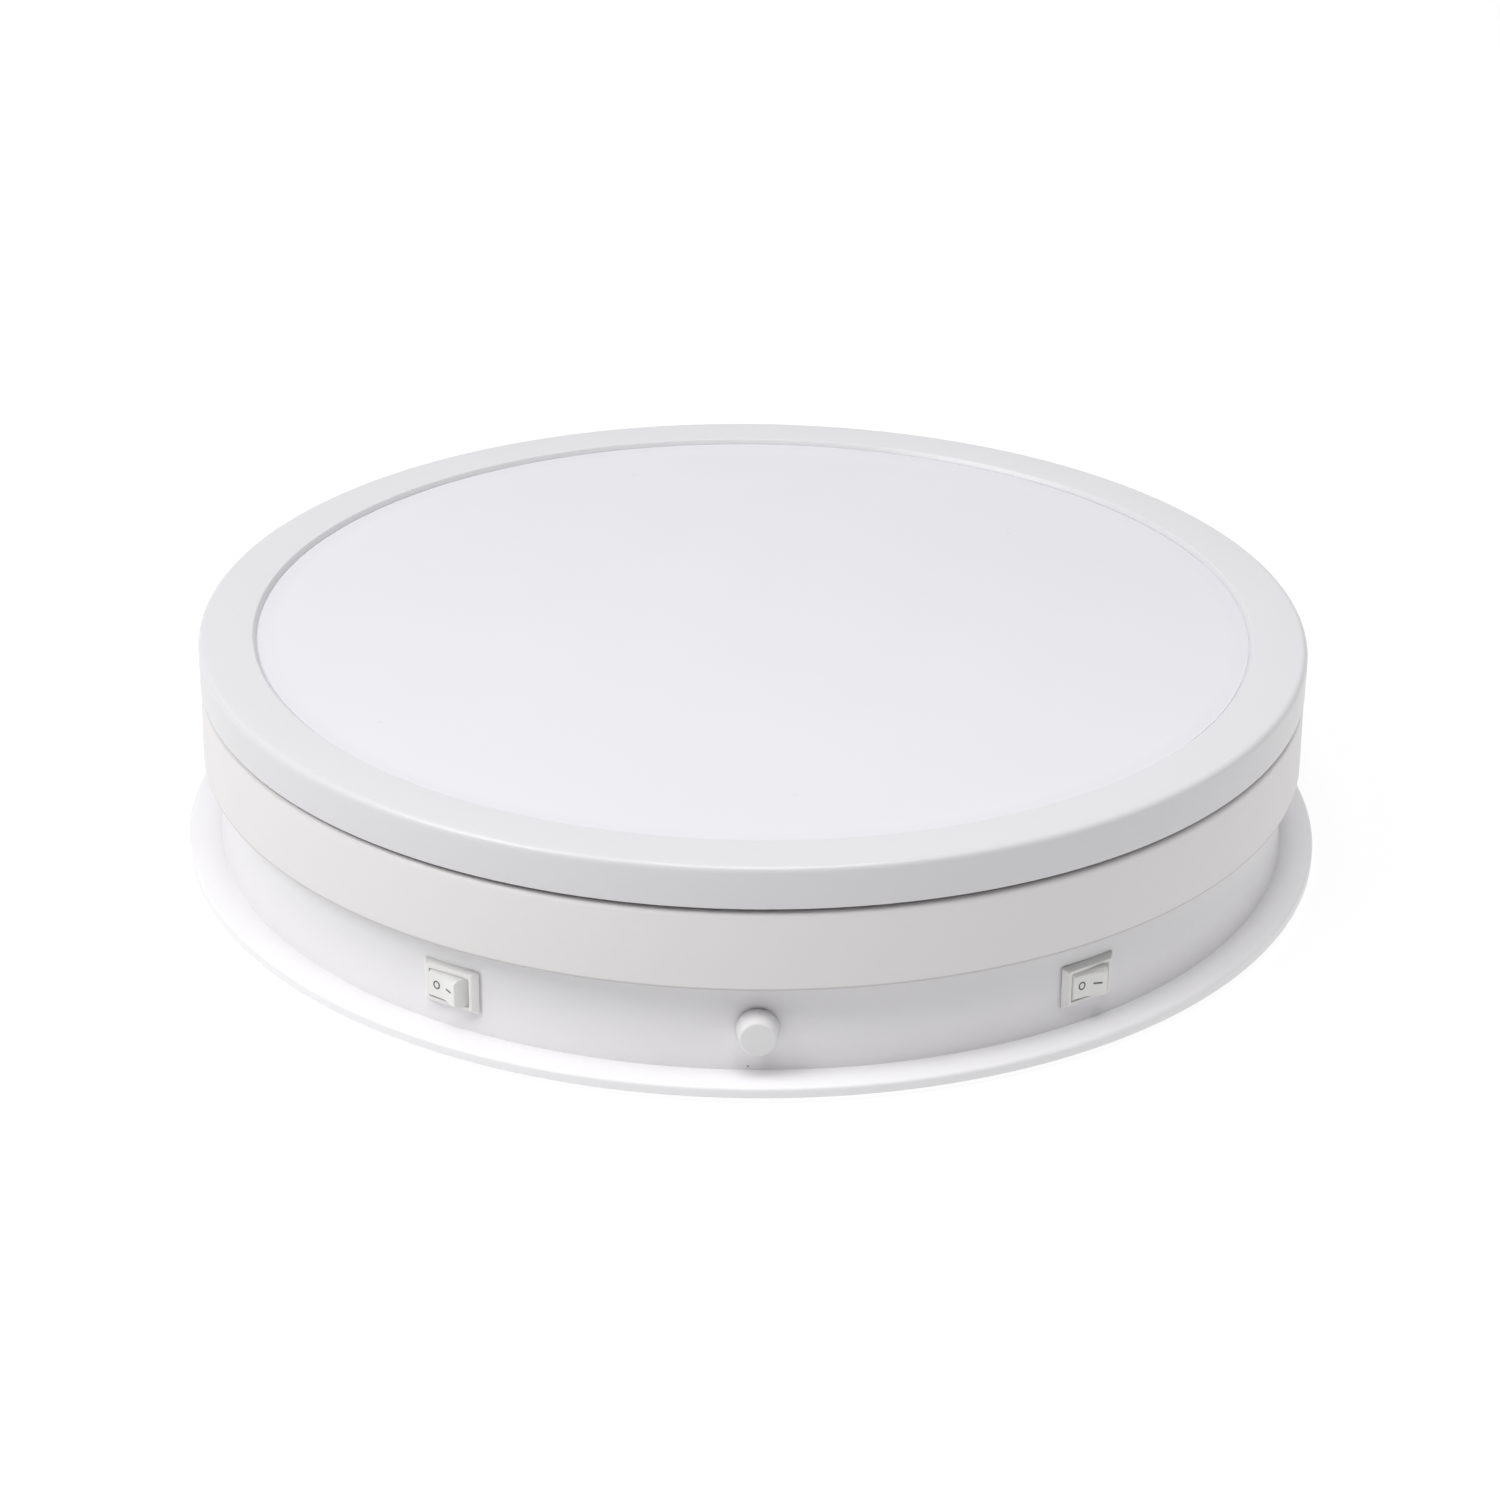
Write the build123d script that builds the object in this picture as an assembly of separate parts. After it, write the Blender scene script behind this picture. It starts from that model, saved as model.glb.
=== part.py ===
from build123d import *
from math import cos, pi, radians, sin
import os

# A powered, lit display turntable. Millimetres, +Z up.
# The origin is the centre of the surface that the rubber feet stand on.
# The front, with the switches and the knob, faces -Y.

# ---- driving dimensions ----
FLANGE_R = 200.0
FOOT_STAND = 2.0
FLANGE_TOP = 5.75
CORNER_R = 188.5
WALL_R = 187.4
WALL_T = 3.0
FLARE_START = 14.0
DECK_TOP = 45.0
DECK_T = 3.0

RING_R_TOP = 192.8
RING_R_BOTTOM = 193.2
RING_BOTTOM = 36.4
RING_TOP = 63.2
RING_T = 2.6
PLATE_T = 3.2

PANEL_R = 193.0
PANEL_BOTTOM = 64.8
PANEL_TOP = 79.0
PANEL_ROUNDING = 2.3
PANEL_WALL = 2.0
LIP_R_TOP = 174.3
LIP_R_LOW = 173.0
DIFFUSER_R = 190.4
DIFFUSER_TOP = 77.4
DIFFUSER_T = 2.0
RIM_STEP = 77.1
GUIDE_T = 3.0
GUIDE_R = 186.5
REFLECTOR_T = 0.5
BACK_PLATE_R = 190.9
BACK_PLATE_LOW = 65.2
BACK_PLATE_TOP = 66.4

RACE_IN = 86.0
RACE_OUT = 106.0
BALL_TRACK_R = 96.0
BALL_R = 3.5
BALL_PLAY = 0.15
BALL_COUNT = 24
CAGE_T = 2.0

GEAR_MODULE = 1.0
GEAR_TEETH = 120
PINION_TEETH = 20
BACKLASH = 0.2
GEAR_LOW = 50.0
GEAR_HIGH = 56.0

CONTROL_Z = 19.8
KNOB_Z = 20.4
LEFT_SWITCH_DEG = -31.0
RIGHT_SWITCH_DEG = 34.2
SWITCH_FACE = WALL_R + 0.1
BEZEL_W = 21.0
BEZEL_H = 15.0
BEZEL_T = 2.0
ROCKER_TILT = 14.0
JACK_DEG = 180.0

# ---- derived dimensions ----
PLATE_LOW = RING_TOP - PLATE_T
SKIRT_IN = RING_R_TOP - RING_T
DECK_LOW = DECK_TOP - DECK_T
WALL_IN = WALL_R - WALL_T
BALL_Z = (DECK_TOP + PLATE_LOW) / 2
RACE_GAP = 1.4
GEAR_CENTRES = GEAR_MODULE * (GEAR_TEETH + PINION_TEETH) / 2
DIFFUSER_LOW = DIFFUSER_TOP - DIFFUSER_T
GUIDE_LOW = DIFFUSER_LOW - GUIDE_T
REFLECTOR_LOW = GUIDE_LOW - REFLECTOR_T
SCREW_SEAT = FOOT_STAND + 1.6
BOSS_R = 172.0
FOOT_RING_R = 158.0


# ---- helpers ----
def disc(r, low, high):
    return Pos(0, 0, (low + high) / 2) * Cylinder(r, high - low)


def tube(r_in, r_out, low, high):
    return disc(r_out, low, high) - disc(r_in, low - 1, high + 1)


def block(x, y, low, high):
    return Pos(0, 0, (low + high) / 2) * Box(x, y, high - low)


def hexagon(across_flats, low, high):
    sketch = RegularPolygon(across_flats / 2, 6, major_radius=False)
    return Pos(0, 0, low) * extrude(sketch, high - low)


def ring_of(shape, count, radius, first_deg=0.0):
    step = 360.0 / count
    return [Rot(0, 0, first_deg + step * k) * Pos(radius, 0, 0) * shape for k in range(count)]


def holes_in(body, drills):
    for drill in drills:
        body = body - drill
    return body


def join(body, pieces):
    for piece in pieces:
        body = body + piece
    return body


def screw_up(r, head_r, head_t, seat, tip):
    """A pan-head screw pointing up, its head's seat at z = seat."""
    shank = disc(r, seat, tip)
    head = disc(head_r, seat - head_t, seat)
    slot = block(head_r * 1.2, 0.6, seat - head_t - 1, seat - head_t + 0.6)
    cross = Rot(0, 0, 90) * slot
    return shank + head - slot - cross


def flat_screw_down(r, head_r, head_t, top, tip):
    """A countersunk screw pointing down, its head flush at z = top."""
    cone = Pos(0, 0, top - head_t / 2) * Cone(r, head_r, head_t)
    slot = block(head_r * 1.2, 0.6, top - 0.6, top + 1)
    cross = Rot(0, 0, 90) * slot
    return cone + disc(r, tip, top - head_t) - slot - cross


def countersink(r, head_r, head_t, top, low):
    cone = Pos(0, 0, top - head_t / 2) * Cone(r, head_r, head_t)
    return cone + disc(r, low, top)


def at_wall(shape, front_deg, z, radius):
    """Turn a shape built facing -Y (its seat at y = 0) to its place round the wall."""
    return Rot(0, 0, front_deg) * Pos(0, -radius, z) * shape


def along_y(shape):
    """Turn a shape built along +Z so that its +Z points to -Y, out of the wall."""
    return Rot(90, 0, 0) * shape


def gear_outline(teeth, shift=0.0):
    """Straight-flanked teeth with flats at tip and root; shift turns them by part of a pitch."""
    pitch = 2 * pi / teeth
    r = GEAR_MODULE * teeth / 2
    half_tip = (0.25 * pi * GEAR_MODULE * 0.6 - BACKLASH / 2) / r
    half_root = (0.25 * pi * GEAR_MODULE * 1.5 - BACKLASH / 2) / r
    tip = r + GEAR_MODULE * 0.9
    root = r - GEAR_MODULE * 1.2
    points = []
    for k in range(teeth):
        middle = (k + shift) * pitch
        for radius, turn in ((root, -half_root), (tip, -half_tip), (tip, half_tip), (root, half_root)):
            points.append((radius * cos(middle + turn), radius * sin(middle + turn)))
    return make_face(Polyline(*points, close=True))


def cable(*points, r=1.4, bend=5.0):
    """A round cable along straight runs joined by arcs."""
    path = FilletPolyline(*points, radius=bend)
    start = Plane(origin=path @ 0, z_dir=path % 0)
    return sweep(start * Circle(r), path)


def save(node, shape):
    pieces = shape if isinstance(shape, list) else [shape]
    solids = [solid for piece in pieces for solid in piece.solids()]
    whole = solids[0] if len(solids) == 1 else Compound(children=solids)
    export_step(whole, f"parts/{node}.step")


# ---- base: shell, bottom plate, feet ----
SCREW_ANGLE = 22.5
POST_COUNT = 6
POST_DEG = 15.0
RACE_SCREW_DEG = 45.0
MOTOR_AT = Pos(0, GEAR_CENTRES, 0)
MOTOR_SCREWS = [Pos(x, GEAR_CENTRES + y, 0) for x, y in ((-19.0, -6.0), (19.0, -6.0), (0.0, -20.0))]


def shell_section():
    """Outer skin of the base: the deck, and a wall that flares a little at its foot."""
    flare_r = 29.0
    drop = FLARE_START - FLANGE_TOP
    mid_z = FLARE_START - drop / 2
    mid_r = WALL_R + flare_r - (flare_r ** 2 - (drop / 2) ** 2) ** 0.5
    outline = Polyline(
        (CORNER_R, FLANGE_TOP),
        (WALL_IN, FLANGE_TOP),
        (WALL_IN, DECK_LOW),
        (0, DECK_LOW),
        (0, DECK_TOP),
        (WALL_R - 2, DECK_TOP),
        (WALL_R, DECK_TOP - 2),
        (WALL_R, FLARE_START),
    )
    outline += ThreePointArc((WALL_R, FLARE_START), (mid_r, mid_z), (CORNER_R, FLANGE_TOP))
    return revolve(make_face(Plane.XZ * outline), Axis.Z)


def base_shell():
    shell = shell_section()
    boss = disc(5.0, FLANGE_TOP, DECK_LOW)
    web = Pos(8.0, 0, 0) * block(12.0, 3.0, FLANGE_TOP + 4, DECK_LOW)
    shell = join(shell, ring_of(boss + web, 8, BOSS_R, SCREW_ANGLE))
    shell = join(shell, ring_of(disc(6.0, FLANGE_TOP, DECK_LOW), POST_COUNT, BALL_TRACK_R, POST_DEG))
    rib = block(58.0, 2.5, DECK_LOW - 9, DECK_LOW)
    shell = join(shell, ring_of(rib, 8, 137.0, SCREW_ANGLE))
    pilot = disc(1.5, FLANGE_TOP - 1, FLANGE_TOP + 12)
    shell = holes_in(shell, ring_of(pilot, 8, BOSS_R, SCREW_ANGLE))
    race_hole = disc(2.1, DECK_LOW - 1, DECK_TOP + 1)
    shell = holes_in(shell, ring_of(race_hole, 6, BALL_TRACK_R, RACE_SCREW_DEG))
    shell = shell - MOTOR_AT * disc(6.2, DECK_LOW - 1, DECK_TOP + 1)
    shell = holes_in(shell, [place * disc(1.7, DECK_LOW - 1, DECK_TOP + 1) for place in MOTOR_SCREWS])
    shell = shell - disc(11.2, DECK_LOW - 1, DECK_TOP + 1)
    shell = holes_in(shell, ring_of(disc(1.3, DECK_LOW - 1, DECK_TOP + 1), 3, 18.0, 30))
    window = Pos(0, 4, 0) * Box(19.0, 16, 13.0)
    for angle in (LEFT_SWITCH_DEG, RIGHT_SWITCH_DEG):
        shell = shell - at_wall(window, angle, CONTROL_Z, WALL_R)
    shell = shell - at_wall(along_y(disc(3.55, -8, 4)), 0, KNOB_Z, WALL_R)
    return shell - at_wall(along_y(disc(4.05, -8, 4)), JACK_DEG, CONTROL_Z, WALL_R)


def bottom_plate():
    """The wide round plate that the shell stands on. Its rim shows as the flange."""
    plate = disc(FLANGE_R, FOOT_STAND, FLANGE_TOP)
    plate = fillet(plate.edges().group_by(Axis.Z)[-1], 1.1)
    plate = fillet(plate.edges().group_by(Axis.Z)[0], 0.5)
    plate = holes_in(plate, ring_of(screw_well(), 8, BOSS_R, SCREW_ANGLE))
    plate = holes_in(plate, ring_of(disc(4.0, 1, FLANGE_TOP + 1), 6, FOOT_RING_R, 0))
    plate = holes_in(plate, [BOARD_AT * Pos(x, y, 0) * screw_well() for x, y in BOARD_HOLES])
    vent = Pos(0, GEAR_CENTRES, 0) * block(34.0, 3.0, 1, FLANGE_TOP + 1)
    return holes_in(plate, [Pos(0, 8.0 * k, 0) * vent for k in (-2, -1, 0, 1, 2)])


def screw_well():
    """A clearance hole with a well for a pan head, up through the bottom plate."""
    return disc(3.2, 1, SCREW_SEAT) + disc(1.7, 1, FLANGE_TOP + 1)


def rubber_feet():
    foot = disc(9.0, 0, FOOT_STAND) - disc(5.0, -0.1, 0.5)
    stem = disc(3.95, FOOT_STAND, FLANGE_TOP)
    barb = Pos(0, 0, FLANGE_TOP + 0.9) * Cone(4.8, 3.2, 1.8)
    return ring_of(foot + stem + barb, 6, FOOT_RING_R, 0)


def bottom_screws():
    return ring_of(screw_up(1.5, 2.9, 1.4, SCREW_SEAT, FLANGE_TOP + 9), 8, BOSS_R, SCREW_ANGLE)


# ---- ball bearing under the platter ----
def ball_groove():
    circle = Pos(BALL_TRACK_R, 0, BALL_Z) * Rot(90, 0, 0) * Circle(BALL_R + BALL_PLAY)
    return revolve(circle, Axis.Z)


def lower_race():
    race = tube(RACE_IN, RACE_OUT, DECK_TOP, BALL_Z - RACE_GAP) - ball_groove()
    return holes_in(race, ring_of(disc(1.6, DECK_TOP - 1, DECK_TOP + 2.6), 6, BALL_TRACK_R, RACE_SCREW_DEG))


def upper_race():
    race = tube(RACE_IN, RACE_OUT, BALL_Z + RACE_GAP, PLATE_LOW) - ball_groove()
    return holes_in(race, ring_of(disc(1.6, PLATE_LOW - 2.6, PLATE_LOW + 1), 6, BALL_TRACK_R, 30))


def lower_race_screws():
    return ring_of(screw_up(1.6, 3.2, 1.8, DECK_LOW, DECK_TOP + 2.4), 6, BALL_TRACK_R, RACE_SCREW_DEG)


def upper_race_screws():
    screw = flat_screw_down(1.6, 3.2, 1.7, RING_TOP, PLATE_LOW - 2.4)
    return ring_of(screw, 6, BALL_TRACK_R, 30)


def bearing_cage():
    cage = tube(BALL_TRACK_R - 7, BALL_TRACK_R + 7, BALL_Z - CAGE_T / 2, BALL_Z + CAGE_T / 2)
    pocket = disc(BALL_R + 0.25, BALL_Z - 3, BALL_Z + 3)
    return holes_in(cage, ring_of(pocket, BALL_COUNT, BALL_TRACK_R, 7.5))


def bearing_balls():
    return ring_of(Pos(0, 0, BALL_Z) * Sphere(BALL_R), BALL_COUNT, BALL_TRACK_R, 7.5)


# ---- drive: gear motor, pinion, platter gear ----
def gearbox_case():
    case = disc(25.0, DECK_LOW - 15, DECK_LOW)
    collar = disc(6.0, DECK_LOW, DECK_TOP)
    case = MOTOR_AT * (case + collar - disc(3.05, DECK_LOW - 8, DECK_TOP + 1))
    return holes_in(case, [place * disc(1.3, DECK_LOW - 7, DECK_LOW + 1) for place in MOTOR_SCREWS])


def motor_can():
    can = disc(17.0, DECK_LOW - 31, DECK_LOW - 15)
    hub = disc(5.0, DECK_LOW - 33, DECK_LOW - 31)
    tabs = [Pos(x, 0, 0) * block(0.5, 2.8, DECK_LOW - 35, DECK_LOW - 31) for x in (-10, 10)]
    return MOTOR_AT * join(can + hub, tabs)


def motor_screws():
    screw = Rot(180, 0, 0) * Pos(0, 0, -2 * DECK_TOP) * screw_up(1.3, 2.6, 1.6, DECK_TOP, DECK_TOP + 8.5)
    return [place * screw for place in MOTOR_SCREWS]


def motor_shaft():
    shaft = disc(3.0, DECK_LOW - 7.8, GEAR_HIGH + 1.5)
    flat = Pos(5.0, 0, 0) * block(5.0, 8.0, GEAR_LOW - 2, GEAR_HIGH + 3)
    return MOTOR_AT * (shaft - flat)


def pinion_gear():
    teeth = Pos(0, 0, GEAR_LOW) * extrude(gear_outline(PINION_TEETH), GEAR_HIGH - GEAR_LOW)
    hub = disc(6.0, GEAR_LOW - 2, GEAR_LOW)
    bore = disc(3.0, GEAR_LOW - 3, GEAR_HIGH + 1)
    flat = Pos(5.0, 0, 0) * block(5.0, 8.0, GEAR_LOW - 2, GEAR_HIGH + 3)
    return MOTOR_AT * (teeth + hub - (bore - flat))


def drive_gear():
    teeth = extrude(gear_outline(GEAR_TEETH, 0.5), GEAR_HIGH - GEAR_LOW)
    gear = Pos(0, 0, GEAR_LOW) * teeth - disc(25.0, GEAR_LOW - 1, GEAR_HIGH + 1)
    gear = gear - tube(44.0, 54.0, GEAR_LOW + 3, GEAR_HIGH + 1)
    gear = gear + tube(27.0, 42.0, GEAR_HIGH, PLATE_LOW)
    return holes_in(gear, ring_of(disc(1.4, GEAR_LOW + 2, PLATE_LOW + 1), 4, 34.0, 45))


def gear_screws():
    screw = flat_screw_down(1.4, 2.8, 1.5, RING_TOP, GEAR_LOW + 3)
    return ring_of(screw, 4, 34.0, 45)


# ---- slip ring on the axis ----
def slip_ring_stator():
    body = disc(11.0, DECK_TOP - 22, DECK_TOP) + disc(22.0, DECK_TOP, DECK_TOP + 2)
    body = body - disc(6.1, DECK_TOP - 20, DECK_TOP + 3)
    return holes_in(body, ring_of(disc(1.6, DECK_TOP - 1, DECK_TOP + 3), 3, 18.0, 30))


def slip_ring_screws():
    screw = Rot(180, 0, 0) * Pos(0, 0, -2 * DECK_TOP - 4) * screw_up(1.3, 2.4, 1.4, DECK_TOP + 2, DECK_TOP + 8)
    return ring_of(screw, 3, 18.0, 30)


def slip_ring_rotor():
    rotor = disc(6.0, DECK_TOP - 19, DECK_TOP + 5) + disc(5.0, DECK_TOP + 5, RING_TOP)
    rings = [tube(5.6, 7.0, DECK_TOP - 17 + 3 * k, DECK_TOP - 16 + 3 * k) for k in range(5)]
    rotor = holes_in(rotor, rings)
    return rotor - disc(2.6, DECK_TOP - 10, RING_TOP + 1)


# ---- speed control ----
def pot_body():
    seat = WALL_IN - 0.25
    can = along_y(disc(8.2, -8.5, 0))
    tabs = [Pos(x, 6.0, -8.5) * Box(1.2, 0.5, 7.0) for x in (-5, 0, 5)]
    bushing = along_y(disc(3.5, 0, WALL_T + 2.4))
    body = join(can + bushing, tabs) - along_y(disc(3.05, -7, 9))
    return at_wall(body, 0, KNOB_Z, seat)


def pot_nut():
    nut = hexagon(10.0, 0.05, 2.05) - disc(3.5, -1, 3)
    return at_wall(along_y(nut), 0, KNOB_Z, WALL_R)


KNOB_BASE = WALL_R + 0.6
KNOB_FACE = WALL_R + 8.0
KNOB_R_BASE = 6.95
KNOB_R_FACE = 5.8


def speed_knob():
    length = KNOB_FACE - KNOB_BASE
    knob = Pos(0, 0, length / 2) * Cone(KNOB_R_BASE, KNOB_R_FACE, length)
    knob = fillet(knob.edges().group_by(Axis.Z)[-1], 0.6)
    flute = Pos(0, 0, length / 2) * Cone(0.35, 0.2, length + 2)
    lean = -9.0
    knob = holes_in(knob, [Rot(0, 0, 20 * k) * Pos(6.55, 0, 0) * Rot(0, lean, 0) * flute for k in range(18)])
    knob = knob - disc(6.05, -1, 2.2) - disc(3.0, 2, length - 1.6)
    return at_wall(along_y(knob), 0, KNOB_Z, KNOB_BASE)


def pot_shaft():
    shaft = disc(3.0, -6.6 - WALL_T - 0.2, KNOB_FACE - WALL_R - 1.6)
    return at_wall(along_y(shaft), 0, KNOB_Z, WALL_R)


# ---- rocker switches ----
PIVOT_DEPTH = -2.0
ROCKER_H = 9.9
OPENING_W = 15.2
OPENING_H = 10.4


def bezel_solid():
    low = Rectangle(BEZEL_W, BEZEL_H)
    high = Pos(0, 0, BEZEL_T) * Rectangle(BEZEL_W - 3.8, BEZEL_H - 2.6)
    return loft([low, high])


def switch_housing():
    body = block(18.6, 12.6, -13.0, 0)
    housing = bezel_solid() + body
    housing = housing - block(OPENING_W, OPENING_H, -8.0, BEZEL_T + 1)
    socket = Pos(0, 0, PIVOT_DEPTH) * Rot(90, 0, 0) * Cylinder(1.05, OPENING_H + 1.4)
    slots = [Pos(x, 0, 0) * block(0.8, 4.8, -14, -7.5) for x in (-5.0, 5.0)]
    return holes_in(housing - socket, slots)


def switch_terminals():
    blade = block(0.8, 4.8, -21.0, -8.0) - Pos(0, 0, -18.5) * Rot(0, 90, 0) * Cylinder(0.8, 3)
    contact = block(2.4, 3.0, -8.0, -7.4)
    return [Pos(x, 0, 0) * (blade + contact) for x in (-5.0, 5.0)]


def rocker_solid():
    """A saddle-topped rocker, tipped so that its left end is pressed in."""
    outline = Polyline(
        (-7.2, 1.0), (-6.0, 6.3), (0, 5.2), (6.0, 6.3), (7.2, 1.0),
        (6.8, -2.6), (2.0, -3.4), (-2.0, -3.4), (-6.8, -2.6), close=True,
    )
    slab = Rot(90, 0, 0) * extrude(make_face(outline), ROCKER_H / 2, both=True)
    pin = Rot(90, 0, 0) * Cylinder(1.0, OPENING_H + 1.1)
    return Pos(0, 0, PIVOT_DEPTH) * Rot(0, -ROCKER_TILT, 0) * (slab + pin)


def switch_place(shape, front_deg):
    """Shapes built face-up, width along X and height along Y, to their place in the wall."""
    return at_wall(along_y(shape), front_deg, CONTROL_Z, SWITCH_FACE)


# ---- power inlet at the back ----
def dc_jack():
    barrel = disc(4.0, -12.0, 0) + disc(5.5, 0.15, 2.0) + disc(4.0, -0.5, 0.5)
    barrel = barrel + disc(4.6, -16.0, -11.0)
    barrel = barrel - disc(2.85, -9.5, 3)
    pin = disc(1.0, -9.6, 0.8)
    tabs = [Pos(x, 0, 0) * block(0.6, 2.4, -20.0, -15.5) for x in (-2.5, 2.5)]
    return at_wall(along_y(join(barrel + pin, tabs)), JACK_DEG, CONTROL_Z, WALL_R)


def dc_jack_nut():
    nut = hexagon(10.5, -WALL_T - 2.25, -WALL_T - 0.25) - disc(4.0, -9, 1)
    return at_wall(along_y(nut), JACK_DEG, CONTROL_Z, WALL_R)


# ---- control board ----
BOARD_X = 80.0
BOARD_Y = 50.0
BOARD_TOP = 13.6
BOARD_T = 1.6
BOARD_AT = Pos(-127.0, 15.0, 0) * Rot(0, 0, 90)
BOARD_HOLES = [(x, y) for x in (-36.0, 36.0) for y in (-21.0, 21.0)]


def control_board():
    board = block(BOARD_X, BOARD_Y, BOARD_TOP - BOARD_T, BOARD_TOP)
    board = holes_in(board, [Pos(x, y, 0) * disc(1.6, 10, 16) for x, y in BOARD_HOLES])
    return BOARD_AT * board


def board_standoffs():
    post = hexagon(5.5, FLANGE_TOP, BOARD_TOP - BOARD_T)
    post = post - disc(1.5, FLANGE_TOP - 1, BOARD_TOP)
    return [BOARD_AT * Pos(x, y, 0) * post for x, y in BOARD_HOLES]


def board_screws():
    top = Rot(180, 0, 0) * Pos(0, 0, -2 * BOARD_TOP) * screw_up(1.5, 2.7, 1.6, BOARD_TOP, BOARD_TOP + 4.2)
    low = screw_up(1.5, 2.7, 1.4, SCREW_SEAT, FLANGE_TOP + 1.5)
    return [BOARD_AT * Pos(x, y, 0) * screw for x, y in BOARD_HOLES for screw in (top, low)]


def terminal_blocks():
    one = block(10.0, 8.0, BOARD_TOP, BOARD_TOP + 10)
    one = one - Pos(-2.5, 0, 0) * disc(1.7, BOARD_TOP + 7, BOARD_TOP + 11)
    one = one - Pos(2.5, 0, 0) * disc(1.7, BOARD_TOP + 7, BOARD_TOP + 11)
    mouth = Pos(0, -4.0, BOARD_TOP + 3.5) * Box(7.6, 4.0, 4.0)
    one = one - mouth
    return [BOARD_AT * Pos(-27.5 + 11 * k, -19.0, 0) * one for k in range(6)]


def capacitors():
    can = fillet(disc(5.0, BOARD_TOP, BOARD_TOP + 16).edges().group_by(Axis.Z)[-1], 0.8)
    return [BOARD_AT * Pos(x, 12.0, 0) * can for x in (-26.0, -13.0)]


def power_transistor():
    tab = Pos(4.0, 12.0, 0) * block(10.0, 1.3, BOARD_TOP + 3, BOARD_TOP + 14)
    body = Pos(4.0, 9.9, 0) * block(10.0, 3.0, BOARD_TOP + 3, BOARD_TOP + 10)
    legs = [Pos(4.0 + x, 10.2, 0) * block(0.8, 0.6, BOARD_TOP, BOARD_TOP + 3) for x in (-2.54, 0, 2.54)]
    return BOARD_AT * join(tab + body, legs)


def heat_sink():
    sink = Pos(4.0, 14.7, 0) * block(22.0, 4.0, BOARD_TOP, BOARD_TOP + 16)
    fins = [Pos(4.0 - 9.6 + 3.2 * k, 18.4, 0) * block(1.2, 4.4, BOARD_TOP, BOARD_TOP + 16) for k in range(7)]
    return BOARD_AT * join(sink, fins)


def inductor():
    core = Pos(22.0, 2.0, 0) * tube(3.2, 7.0, BOARD_TOP, BOARD_TOP + 6)
    return BOARD_AT * core


# ---- platter: drum, spacer and light panel ----
def platter_drum():
    edge = 1.2
    outline = Polyline(
        (0, PLATE_LOW),
        (SKIRT_IN, PLATE_LOW),
        (SKIRT_IN + RING_R_BOTTOM - RING_R_TOP, RING_BOTTOM),
        (RING_R_BOTTOM, RING_BOTTOM),
        (RING_R_TOP, RING_TOP - edge),
    )
    outline += RadiusArc((RING_R_TOP, RING_TOP - edge), (RING_R_TOP - edge, RING_TOP), -edge)
    outline += Polyline((RING_R_TOP - edge, RING_TOP), (0, RING_TOP), (0, PLATE_LOW))
    drum = revolve(make_face(Plane.XZ * outline), Axis.Z)
    drum = drum - disc(5.05, PLATE_LOW - 1, RING_TOP + 1)
    race_screw = countersink(1.6, 3.2, 1.7, RING_TOP, PLATE_LOW - 1)
    drum = holes_in(drum, ring_of(race_screw, 6, BALL_TRACK_R, 30))
    gear_screw = countersink(1.4, 2.8, 1.5, RING_TOP, PLATE_LOW - 1)
    drum = holes_in(drum, ring_of(gear_screw, 4, 34.0, 45))
    drum = holes_in(drum, ring_of(disc(2.1, PLATE_LOW - 1, RING_TOP + 1), 6, SPACER_MID, 0))
    rib = block(60.0, 2.5, PLATE_LOW - 8, PLATE_LOW)
    return join(drum, ring_of(rib, 12, 160.0 - 1.2, 15))


SPACER_IN = 118.0
SPACER_OUT = 126.0
SPACER_MID = 122.0


def spacer_ring():
    ring = tube(SPACER_IN, SPACER_OUT, RING_TOP, BACK_PLATE_LOW)
    return holes_in(ring, ring_of(disc(2.1, RING_TOP - 1, BACK_PLATE_LOW + 1), 6, SPACER_MID, 0))


def panel_screws():
    return ring_of(screw_up(2.0, 3.8, 2.2, PLATE_LOW, BACK_PLATE_TOP), 6, SPACER_MID, 0)


CABLE_HOLE_R = 60.0
CABLE_TURN = Rot(0, 0, 20)


def panel_frame():
    inner = PANEL_R - PANEL_WALL
    round_r = PANEL_ROUNDING
    outline = Polyline((LIP_R_LOW, RIM_STEP), (LIP_R_TOP, PANEL_TOP), (PANEL_R - round_r, PANEL_TOP))
    outline += RadiusArc((PANEL_R - round_r, PANEL_TOP), (PANEL_R, PANEL_TOP - round_r), round_r)
    outline += Polyline(
        (PANEL_R, PANEL_TOP - round_r),
        (PANEL_R, PANEL_BOTTOM + 0.5),
        (PANEL_R - 0.5, PANEL_BOTTOM),
        (inner, PANEL_BOTTOM),
        (inner, RIM_STEP),
        (LIP_R_LOW, RIM_STEP),
    )
    frame = revolve(make_face(Plane.XZ * outline), Axis.Z)
    lug = Pos(1.6, 0, 0) * block(3.4, 9.0, BACK_PLATE_TOP, REFLECTOR_LOW - 0.3)
    frame = join(frame, ring_of(lug, 8, 188.0, 0))
    return holes_in(frame, ring_of(disc(0.9, BACK_PLATE_TOP - 1, BACK_PLATE_TOP + 4), 8, PANEL_SCREW_R, 0))


PANEL_SCREW_R = 189.4


def back_plate():
    plate = disc(BACK_PLATE_R, BACK_PLATE_LOW, BACK_PLATE_TOP)
    plate = holes_in(plate, ring_of(disc(0.95, 60, 70), 8, PANEL_SCREW_R, 0))
    plate = holes_in(plate, ring_of(disc(2.05, 60, 70), 6, SPACER_MID, 0))
    return plate - CABLE_TURN * Pos(CABLE_HOLE_R, 0, 0) * disc(4.0, 60, 70)


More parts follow.
